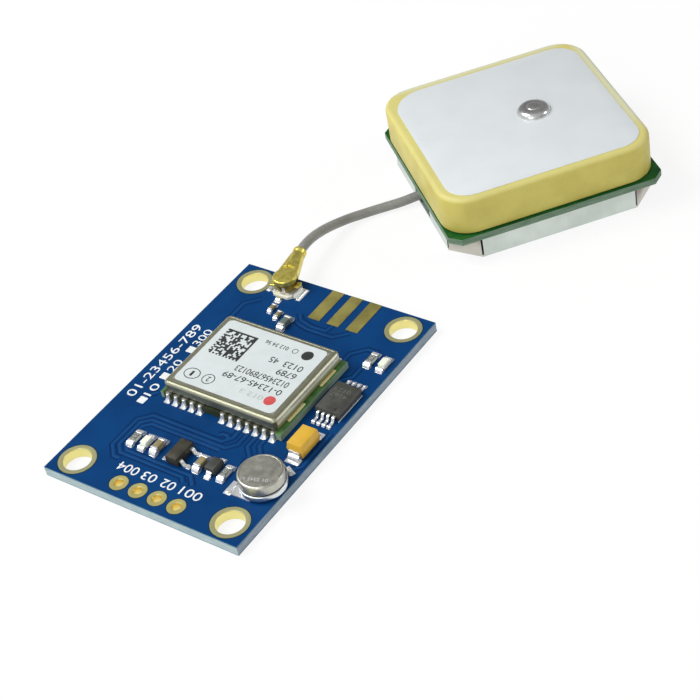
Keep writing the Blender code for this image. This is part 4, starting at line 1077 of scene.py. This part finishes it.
# %% [markdown]
# ## The ceramic patch
# The patch is a pressed and fired square with generous corners and a softly rounded top rim. It is
# made square to the axes and then turned to the way it lies, which keeps the edge tests simple. The
# printed silver face is a very thin plate with corners of its own.

# %% Patch and silver face
def laid(piece):
    """Turns a piece that was made round the origin to the antenna's lie."""
    piece.location = ANTENNA_AT
    piece.rotation_euler.z = math.radians(ANTENNA_TURN)
    return placed(piece)


patch = box((-0.14, 0.0, (PATCH_LOW + PATCH_TOP) / 2), (25.28, 25.0, PATCH_TOP - PATCH_LOW))
round_corners(patch, 3.6, 18)
round_rim(patch, PATCH_TOP, 0.6, 6)
round_rim(patch, PATCH_LOW, 0.12, 2)
keep(laid(patch), "ceramic_patch", cream_ceramic, "antenna_ceramic", "antenna_ceramic")
FACE_TOP = PATCH_TOP + 0.06
FACE_T = 0.05
face = box((-0.15, -0.30, FACE_TOP - FACE_T / 2), (23.1, 22.9, FACE_T))
edit(face, "EDGE", lambda m, d: upright(m, d) and m.x < 0 < m.y, round_off(3.9, 16))
edit(face, "EDGE", lambda m, d: upright(m, d) and not m.x < -5 < 5 < m.y, round_off(2.9, 16))
round_rim(face, FACE_TOP, 0.02, 2)
keep(laid(face), "silver_face_print", silver_face, "silver_print", "antenna_electrode")

# %% [markdown]
# ## The feed's solder joint
# The feed pin comes up through the patch, and solder flows round its head in a ring. From the rim of
# a flat disc, each inset goes further in and a step up or down, so a few numbers draw the profile:
# steep outside, a shallow trough, then the pin's round head.

# %% Feed joint
FEED_X, FEED_Y, FEED_R = 2.4, -0.1, 1.95
feed = drum((FEED_X, FEED_Y), FEED_R, FACE_TOP, FACE_TOP + 0.05, 48)
PROFILE = ((0.06, 0.16), (0.10, 0.18), (0.16, 0.14), (0.22, 0.10), (0.26, 0.05), (0.20, -0.01),
           (0.12, -0.03), (0.08, 0.07), (0.10, 0.05), (0.16, 0.03), (0.24, 0.01))
for inwards, upwards in PROFILE:
    edit(feed, "FACE", lambda m, n: n.z > 0.9 and math.hypot(m.x - FEED_X, m.y - FEED_Y) < 0.02,
         sunk(inwards, upwards))
keep(laid(feed), "feed_joint", pin_solder, "tin", "antenna_feed_pin", angle=70)

# %% [markdown]
# ## Printed marks
# Print is a film of ink, so each word is a text object turned into a mesh 0.02 mm thick. It is scaled
# to the width and height that it has on the board, and then turned into place. The board carries
# plain numbers beside its pads and options, three little squares and a thin line.

# %% Print on the board
INK_T = 0.02


def lettering(words, middle, size, degrees, height):
    """Printed words from their middle, their width and height in mm, and their turn."""
    alone()
    bpy.ops.object.text_add()
    made = bpy.context.active_object
    made.data.body = words
    made.data.extrude = 0.5
    bpy.ops.object.convert(target="MESH")
    made = bpy.context.active_object
    across, along = ([p.co[i] for p in made.data.vertices] for i in (0, 1))
    centre = Vector(((max(across) + min(across)) / 2, (max(along) + min(along)) / 2, 0.0))
    made.location = -centre
    placed()
    made.scale = (size[0] * MM / (max(across) - min(across)),
                  size[1] * MM / (max(along) - min(along)), INK_T * MM)
    made.rotation_euler.z = math.radians(degrees)
    made.location = Vector((*middle, height + INK_T / 4)) * MM
    return placed()


def patch_of_ink(middle, size, height, corner=0.0):
    """A printed rectangle, with rounded corners where corner is more than 0."""
    made = box((*middle, height + INK_T / 4), (*size, INK_T))
    return round_corners(made, corner, 3) if corner else made


board_words = [lettering(words, (x, y), size, degrees, BOARD_T) for words, x, y, size, degrees in (
    ("001", 4.10, -14.27, (2.65, 1.12), 180), ("02", 1.11, -14.27, (1.75, 1.12), 180),
    ("03", -1.39, -14.27, (1.75, 1.12), 180), ("004", -4.21, -14.27, (2.65, 1.12), 180),
    ("01-23456-789", -11.40, 0.65, (12.4, 1.15), 90), ("10", -9.62, -3.75, (1.9, 1.02), 90),
    ("20", -9.72, 0.35, (1.9, 1.02), 90), ("300", -9.75, 5.35, (2.7, 1.02), 90))]
board_words += [patch_of_ink(middle, size, BOARD_T, corner) for middle, size, corner in (
    ((-9.60, -5.50), (0.95, 0.95), 0.08), ((-9.70, -1.45), (0.95, 0.95), 0.08),
    ((-9.70, 3.20), (0.95, 0.95), 0.08), ((11.93, 2.85), (0.11, 4.4), 0.0))]
keep(joined(board_words), "board_print", white_ink, "moulded_white")

# %% [markdown]
# ## The label's print
# The label has rows of small numbers in black and grey, a black and a red dot, and three thin rings.
# The cell's cap is stamped with plain digits in the same way.

# %% Print on the label
LABEL_TOP = 3.67
label_words = [lettering(words, (x, y), (wide, tall), 180, LABEL_TOP)
               for words, x, y, wide, tall in (
                   ("012 34 56", 0.90, 5.70, 3.0, 0.55), ("0123", 4.55, 3.60, 2.4, 0.85),
                   ("45", 2.05, 3.60, 1.1, 0.85), ("6789", 4.55, 2.35, 2.4, 0.85),
                   ("01234567890123", 2.35, 0.98, 6.9, 0.85),
                   ("0-12345-67-89", 2.0, -0.30, 7.6, 0.80))]


def dot_of_ink(x, y, radius):
    """A round printed dot on the label."""
    return drum((x, y), radius, LABEL_TOP - INK_T / 4, LABEL_TOP + 0.75 * INK_T, 40)


def ring_of_ink(x, y, wide, tall, line):
    """An oval line: a flat disc, both faces inset by the line's width and bridged into a hole."""
    made = drum((0.0, 0.0), 1.0, 0.0, 1.0, 40)
    made.scale = (wide / 2, tall / 2, INK_T)
    made.location = Vector((x, y, LABEL_TOP - INK_T / 4)) * MM
    return edit(placed(made), "FACE", lambda m, n: abs(n.z) > 0.9,
                sunk(line), bpy.ops.mesh.bridge_edge_loops)


label_words += [dot_of_ink(4.95, 5.65, 0.68), ring_of_ink(-4.95, -1.75, 2.0, 1.6, 0.09),
                ring_of_ink(-2.75, -1.75, 1.5, 1.5, 0.09), ring_of_ink(3.30, 5.70, 0.70, 0.70, 0.07),
                lettering("1", (-4.95, -1.75), (0.30, 0.75), 180, LABEL_TOP),
                lettering("2", (-2.75, -1.75), (0.40, 0.70), 180, LABEL_TOP)]
keep(joined(label_words), "label_print", black_ink, "label_paper")
keep(dot_of_ink(5.32, -1.68, 0.66), "label_red_dot", red_ink, "label_paper")
grey_row = lettering("012 3", (2.95, -1.72), (3.0, 0.66), 180, LABEL_TOP)
keep(grey_row, "label_grey_row", faded_white, "label_paper")
stamp = lettering("01 2345 67", (CELL[0] + 0.1, CELL[1] - 1.25), (3.0, 0.42), 200, cap_top - 0.03)
keep(stamp, "cell_stamp", tin_plate, "cell_steel")

# %% [markdown]
# ## The square code
# The code's cells are one small square of ink, copied to the places that a seeded coin toss picks,
# inside a solid line on two sides and a dashed one on the other two. It is only a pattern and says
# nothing. The squares overlap by a hair, so that no seam of paper shows between two of them.

# %% Square code
CODE_CELLS, CODE_CELL = 18, 0.225
CODE_LEFT, CODE_FRONT = -5.66, 1.72
toss = random.Random(7)
cells = []
for column in range(CODE_CELLS):
    for row in range(CODE_CELLS):
        solid = row == CODE_CELLS - 1 or column == CODE_CELLS - 1
        dashed = row == 0 or column == 0
        inked = solid or ((row + column) % 2 == 1 if dashed else toss.random() < 0.5)
        if inked:
            cells.append((CODE_LEFT + (column + 0.5) * CODE_CELL,
                          CODE_FRONT + (row + 0.5) * CODE_CELL))
cell = patch_of_ink((0.0, 0.0), (CODE_CELL * 1.02, CODE_CELL * 1.02), LABEL_TOP)
keep(copied(cell, cells), "label_code", black_ink, "label_paper")

# %% [markdown]
# ## Soldered ends
# Solder wets the end of a part and runs down to its pad in a hollow slope. A block stands for the
# solder, and a wide bevel with a low profile on its upper outer edge turns it into that slope. The
# pad under it is a thin plate that reaches a little further.

# %% Solder slopes
def slope(wide, reach, tall, pad_out, pad_wide):
    """Solder at the origin that climbs towards +y, on a pad that reaches pad_out to -y, in mm."""
    made = box((0.0, -reach / 2, BOARD_T + tall / 2), (wide, reach, tall))
    edit(made, "EDGE", lambda m, d: m.y < -reach * 0.9 and m.z > BOARD_T + tall * 0.9,
         round_off(0.92 * min(reach, tall), 6, 0.36))
    round_corners(made, 0.16 * wide, 3)
    pad = box((0.0, (0.12 - pad_out) / 2, BOARD_T + 0.014), (pad_wide, pad_out + 0.12, 0.028))
    round_corners(pad, 0.08, 3)
    return joined([made, pad])


def both_ends(x, y, half_long):
    """The places of the two slopes of a part that lies along y."""
    return [(x, y - half_long, 0), (x, y + half_long, 180)]


def soldered(name, spots, half_long, size):
    """Slopes of that size at both ends of every part of a kind."""
    ends = [end for x, y in spots for end in both_ends(x, y, half_long)]
    keep(copied(slope(*size), ends), name, solder, "tin", angle=60)

# %% [markdown]
# ## Chip resistors
# A chip part is a small ceramic brick with a metal cap at each end. A resistor's brick is white,
# with a dark grey film on top that has its value in plain numbers. The brick's long edges are
# bevelled, and the film is a thin plate that lies on it.

# %% Chip resistors
CHIP_CAP = 0.32
RESISTORS = ((-6.30, -10.50), (5.75, -10.50), (9.85, 9.95))


def brick(wide, long, tall, cap):
    """The block between two caps, from the whole part's size and the length of a cap in mm."""
    size = (wide - 0.05, long - 2 * cap + 0.04, tall - 0.05)
    made = box((0.0, 0.0, BOARD_T + 0.03 + tall / 2), size)
    return edit(made, "EDGE", lambda m, d: abs(d.y) > 0.9, round_off(0.03, 2))


keep(copied(brick(0.80, 1.60, 0.45, CHIP_CAP), RESISTORS), "resistor_bricks", white_plastic,
     "resistor_film", "resistor_1", "resistor_2", "resistor_3")
film = box((0.0, 0.0, BOARD_T + 0.46), (0.74, 0.98, 0.035))
keep(copied(film, RESISTORS), "resistor_films", grey_film, "resistor_film")
values = [lettering(words, spot, (0.86, 0.46), 90, BOARD_T + 0.478)
          for words, spot in zip(("102", "103", "102"), RESISTORS)]
keep(joined(values), "resistor_values", faded_white, "resistor_film")

# %% [markdown]
# ## Caps and chip capacitors
# The caps are blocks with all their edges rounded, a hair larger than the brick between them. A
# chip capacitor has the same caps and a taller brick of tan or grey ceramic. Each kind is modelled
# once and copied. Each row of the table gives the function that shapes a piece, its size, its
# spots, its name and finish, and the solids that it stands for.

# %% Chip parts
def caps(wide, long, tall, cap):
    """The two caps, from the whole part's size and the length of a cap in mm."""
    ends = []
    for side in (-1, 1):
        end = box((0.0, side * (long - cap) / 2, BOARD_T + 0.02 + tall / 2), (wide, cap, tall))
        ends.append(edit(end, "EDGE", everything, round_off(0.06, 3)))
    return joined(ends)


CAPACITORS = ((-3.10, -10.50), (2.62, -10.50), (-2.35, 10.90))
MATCHING = ((-5.30, 12.50), (-4.00, 11.80))
LEDS = ((-4.75, -10.50), (11.50, 9.90))
for make, size, spots, name, material, slot, *nodes in (
        (caps, (0.82, 1.62, 0.47, CHIP_CAP), RESISTORS, "resistor_caps", tin_plate, "tin"),
        (brick, (0.80, 1.60, 0.75, CHIP_CAP), CAPACITORS[:2], "capacitor_bricks", tan_ceramic,
         "chip_ceramic", "capacitor_1", "capacitor_2"),
        (brick, (0.80, 1.60, 0.75, CHIP_CAP), CAPACITORS[2:], "grey_capacitor_brick", grey_ceramic,
         "chip_ceramic", "capacitor_3"),
        (caps, (0.82, 1.62, 0.77, CHIP_CAP), CAPACITORS, "capacitor_caps", tin_plate, "tin"),
        (brick, (0.50, 1.00, 0.45, 0.20), MATCHING, "matching_bricks", tan_ceramic,
         "chip_ceramic", "matching_part_1", "matching_part_2"),
        (caps, (0.52, 1.02, 0.47, 0.22), MATCHING, "matching_caps", tin_plate, "tin")):
    keep(copied(make(*size), spots), name, material, slot, *nodes)
soldered("low_chip_solder", RESISTORS + LEDS, 0.80, (0.84, 0.46, 0.40, 0.50, 0.88))
soldered("high_chip_solder", CAPACITORS, 0.80, (0.84, 0.48, 0.58, 0.52, 0.88))
soldered("matching_solder", MATCHING, 0.50, (0.50, 0.28, 0.30, 0.32, 0.54))

# %% [markdown]
# ## Status lamps
# A chip LED is a white base with silver ends under a pale block of resin. The resin block is a little
# shorter than the base, its rim and its corners are rounded, and its gloss tells it from the base.

# %% Status lamps
base = box((0.0, 0.0, BOARD_T + 0.17), (0.80, 1.30, 0.30))
round_corners(base, 0.04, 2)
keep(copied(base, LEDS), "led_bases", white_plastic, "moulded_white", "status_led_1",
     "status_led_2")
lens = box((0.0, 0.0, BOARD_T + 0.50), (0.80, 1.14, 0.38))
round_rim(lens, BOARD_T + 0.69, 0.10, 4)
round_corners(lens, 0.05, 3)
keep(copied(lens, LEDS), "led_lenses", lens_resin, "moulded_white")
keep(copied(caps(0.82, 1.62, 0.34, 0.22), LEDS), "led_caps", tin_plate, "tin")

# %% [markdown]
# ## Moulded packages
# A mould leaves a package widest at its middle, where its two halves met, so its block is bisected
# there and its top and underside are scaled in. All its edges are rounded a little at the end.

# %% Package
def package(centre, size, lift, draft=0.93):
    """A moulded block from its centre, size and height over the board, draft times as wide on top."""
    x, y = centre
    low = BOARD_T + lift
    middle = low + size[2] / 2
    made = box((x, y, middle), size)
    edit(made, "FACE", everything, bisected((0.0, 0.0, middle * MM), (0.0, 0.0, 1.0)))
    for height in (low, low + size[2]):
        edit(made, "FACE", lambda m, n: abs(n.z) > 0.9 and abs(m.z - height) < 0.01,
             sized((draft, 1 - (1 - draft) * size[0] / size[1], 1.0), (x, y, height)))
    edit(made, "EDGE", everything, round_off(0.04, 2))
    return made

# %% [markdown]
# ## Bent leads
# A lead is a bent strip: the outer edge of a small plane is extruded down at a slant and then
# outwards, its bends are rounded, and Solidify gives it one thickness all along. A small slope of
# solder closes its toe.

# %% Leads
LEAD_T = 0.14


def lead_strip(start, shoulder, toe, exit_height, wide):
    """A lead that leaves towards -y: it starts inside the body and ends at its toe."""
    foot = BOARD_T + 0.03 + LEAD_T / 2
    knee = shoulder + 0.22
    alone()
    middle = Vector((0.0, -(start + shoulder) / 2, exit_height)) * MM
    bpy.ops.mesh.primitive_plane_add(size=1.0, location=middle)
    made = bpy.context.active_object
    made.scale = (wide * MM, (shoulder - start) * MM, 1.0)
    placed(made)
    moves = ((0.0, -(knee - shoulder), foot - exit_height), (0.0, -(toe - knee), 0.0))
    steps = [lambda move=move: bpy.ops.mesh.extrude_region_move(
        TRANSFORM_OT_translate={"value": Vector(move) * MM}) for move in moves]
    edit(made, "EDGE", lambda m, d: m.y < -shoulder + 0.01 and abs(d.x) > 0.9, *steps)
    bends = (-shoulder, -knee)
    edit(made, "EDGE", lambda m, d: abs(d.x) > 0.9 and min(abs(m.y - b) for b in bends) < 0.01,
         round_off(0.07, 3))
    modify(made, "SOLIDIFY", thickness=LEAD_T * MM, offset=0.0, use_even_offset=True)
    toe_solder = slope(wide + 0.08, 0.30, 0.22, 0.36, wide + 0.12)
    toe_solder.location.y = -toe * MM
    return joined([made, placed(toe_solder)])


def leads(name, size, pins):
    """Leads of that size at (x, y, turn in degrees) for each pin."""
    keep(copied(lead_strip(*size), pins), name, solder, "tin", angle=50)

# %% [markdown]
# ## The memory chip
# The eight-lead chip is a package with four leads on each side. A small round dimple marks its first
# lead, cut by a drum, and two rows of plain numbers in faded ink are printed on its top.

# %% Memory chip
CHIP_AT = (10.50, 2.90)
chip = package(CHIP_AT, (3.0, 4.4, 1.0), 0.10)
notch = drum((CHIP_AT[0] + 0.95, CHIP_AT[1] - 1.65), 0.22, 2.24, 2.50, 24)
combined(chip, notch, "DIFFERENCE")
keep(chip, "memory_package", grey_epoxy, "moulded_black", "memory_chip")
pins = [(CHIP_AT[0] + (i - 1.5) * 0.65, CHIP_AT[1], turn) for turn in (0, 180) for i in range(4)]
leads("memory_leads", (1.9, 2.42, 3.2, 1.80, 0.30), pins)
marks = [lettering(words, (10.45, y), (2.0, 0.5), 180, 2.30)
         for words, y in (("0123", 3.9), ("4567", 3.1))]
keep(joined(marks), "memory_marks", faded_ink, "moulded_black")

# %% [markdown]
# ## The regulator and the diode
# The five-lead regulator has two long leads on one side and three short ones on the other. The diode
# is the same kind of package with one wide lead at each end.

# %% Regulator and diode
REG_AT = (-0.20, -10.45)
keep(package(REG_AT, (1.6, 2.9, 1.1), 0.05), "regulator_package", black_epoxy, "moulded_black",
     "voltage_regulator")
pins = [(REG_AT[0], REG_AT[1] + dy, 90) for dy in (-0.95, 0.95)]
leads("regulator_leads", (0.5, 0.95, 1.62, 1.80, 0.40), pins)
pins = [(REG_AT[0], REG_AT[1] + dy, 270) for dy in (-0.95, 0.0, 0.95)]
leads("regulator_short_leads", (0.5, 0.90, 1.30, 1.80, 0.40), pins)
DIODE_AT = (4.25, -10.40)
keep(package(DIODE_AT, (1.25, 1.7, 0.9), 0.05), "diode_package", grey_epoxy, "moulded_black", "diode")
leads("diode_leads", (0.6, 0.92, 1.25, 1.62, 0.60), [(*DIODE_AT, 0), (*DIODE_AT, 180)])

# %% [markdown]
# ## The amber capacitor
# A moulded tantalum capacitor is a package too, with a stronger taper and flat strips folded down its
# ends. The strips are solids of the frame, and solder climbs them from pads at both ends.

# %% Amber capacitor
TANTALUM_AT = (10.90, -3.90)
keep(package(TANTALUM_AT, (2.0, 3.1, 1.6), 0.17, 0.88), "amber_package", amber_epoxy,
     "tantalum_yellow", "tantalum_body")
soldered("amber_solder", [TANTALUM_AT], 1.70, (1.30, 0.45, 0.60, 0.80, 1.70))

# %% [markdown]
# ## The socket's body
# The coaxial socket stands on a moulded square with its corners cut off. The cut corners and the soft
# upper rim are two bevels of one block, and an inset sinks the field that carries the socket's ring.

# %% Socket body
body = box((*SOCKET_AT, BOARD_T + 0.20), (2.75, 2.75, 0.36))
round_corners(body, 0.42, 1)
round_rim(body, BOARD_T + 0.38, 0.08, 3)
edit(body, "FACE", lambda m, n: n.z > 0.99, sunk(0.16), sunk(0.06, -0.05))
keep(body, "socket_body", cream_plastic, "moulded_white", "coax_socket_base")

# %% [markdown]
# ## The socket's solder
# The coaxial socket is held by its two side tabs and by the signal tab towards the module. Three
# slopes of different widths join them to their pads.

# %% Socket solder
sides = [(SOCKET_AT[0] + 1.95, SOCKET_AT[1], 90), (SOCKET_AT[0] - 1.95, SOCKET_AT[1], 270)]
tab_solder = copied(slope(1.6, 0.30, 0.22, 0.42, 2.0), sides)
signal = copied(slope(0.55, 0.42, 0.34, 0.55, 0.8), [(SOCKET_AT[0] + 0.05, SOCKET_AT[1] - 1.75, 0)])
keep(joined([tab_solder, signal]), "socket_solder", solder, "tin", angle=60)

# %% [markdown]
# ## The cell's tabs
# The cell stands on welded strips that are soldered to large pads, one at the front left and one at
# the rear right. Both ends are the same slopes as before, only wider and turned to their strips.

# %% Cell solder
cell_pads = joined([copied(slope(1.5, 0.55, 0.30, 0.75, 1.9), [(7.75, -11.79, 270)]),
                    copied(slope(1.0, 0.35, 0.30, 0.5, 1.4), [(11.35, -7.45, 155)])])
keep(cell_pads, "cell_solder", solder, "tin", angle=60)

# %% [markdown]
# ## The coaxial plug
# The plug is one gold-plated stamping: a round lid that snaps over the socket, a tapering neck and a
# barrel that is crimped round the cable. The parts are shaped from drums and blocks, lying along +x,
# united by Boolean modifiers, then hollowed for the socket's ring and the cable, and turned into
# place at the end.

# %% Plug
PLUG_TURN = 106.5
AXIS_Z = 2.70
HEAD_LOW, HEAD_TOP, SKIRT_LOW = 2.84, 3.45, 1.80
plug = drum((0.0, 0.0), 1.36, HEAD_LOW, HEAD_TOP, 64)
round_rim(plug, HEAD_TOP, 0.16, 4)
round_rim(plug, HEAD_LOW, 0.10, 3)
skirt = drum((0.0, 0.0), 1.20, SKIRT_LOW, 2.95, 64)
edit(skirt, "EDGE", level_at(SKIRT_LOW), round_off(0.06, 2),
     sized((0.94, 0.94, 1.0), (0.0, 0.0, SKIRT_LOW)))
neck = box((2.35, 0.0, AXIS_Z), (3.3, 2.5, 1.30))
edit(neck, "FACE", lambda m, n: n.x > 0.9, sized((1.0, 0.60, 1.0), (4.0, 0.0, AXIS_Z)))
edit(neck, "EDGE", lambda m, d: abs(d.x) > 0.7, round_off(0.34, 5))


def sleeve(radius, start, end, sides):
    """A cylinder that lies along +x at the height of the plug's axis."""
    made = drum((0.0, 0.0), radius, start, end, sides)
    made.rotation_euler = (0.0, math.pi / 2, 0.0)
    made.location.z = AXIS_Z * MM
    return placed(made)


barrel = sleeve(0.80, 1.8, 5.1, 40)
for spot in (4.30, 4.42, 4.54, 4.66):
    edit(barrel, "FACE", everything, bisected((spot * MM, 0.0, 0.0), (1.0, 0.0, 0.0)))
edit(barrel, "VERT", lambda p, n: 4.4 < p.x < 4.6, sized((1.0, 0.88, 0.88), (0.0, 0.0, AXIS_Z)))
flaps = []
for side in (-1, 1):
    flap = box((0.0, side * 0.42, 0.0), (2.3, 0.76, 0.20))
    edit(flap, "EDGE", everything, round_off(0.07, 3))
    flap.rotation_euler = (math.radians(-17 * side), math.radians(4), math.radians(-9 * side))
    flap.location = Vector((2.65, 0.0, 3.40)) * MM
    flaps.append(placed(flap))
    ear = box((-0.10, side * 1.40, 2.22), (0.90, 0.80, 0.26))
    flaps.append(edit(ear, "EDGE", everything, round_off(0.09, 3)))
for part in (skirt, neck, barrel, *flaps):
    combined(plug, part, "UNION")
slot = box((-1.1, 0.0, 2.10), (0.9, 0.50, 0.90))
for hollow in (drum((0.0, 0.0), 1.03, 1.5, 2.79, 48), sleeve(0.60, 2.3, 5.3, 32), slot):
    combined(plug, hollow, "DIFFERENCE")
plug.rotation_euler.z = math.radians(PLUG_TURN)
plug.location = Vector((*SOCKET_AT, 0.0)) * MM
keep(placed(plug), "plug", plug_gold, "gold", "coax_plug_shell", angle=40)
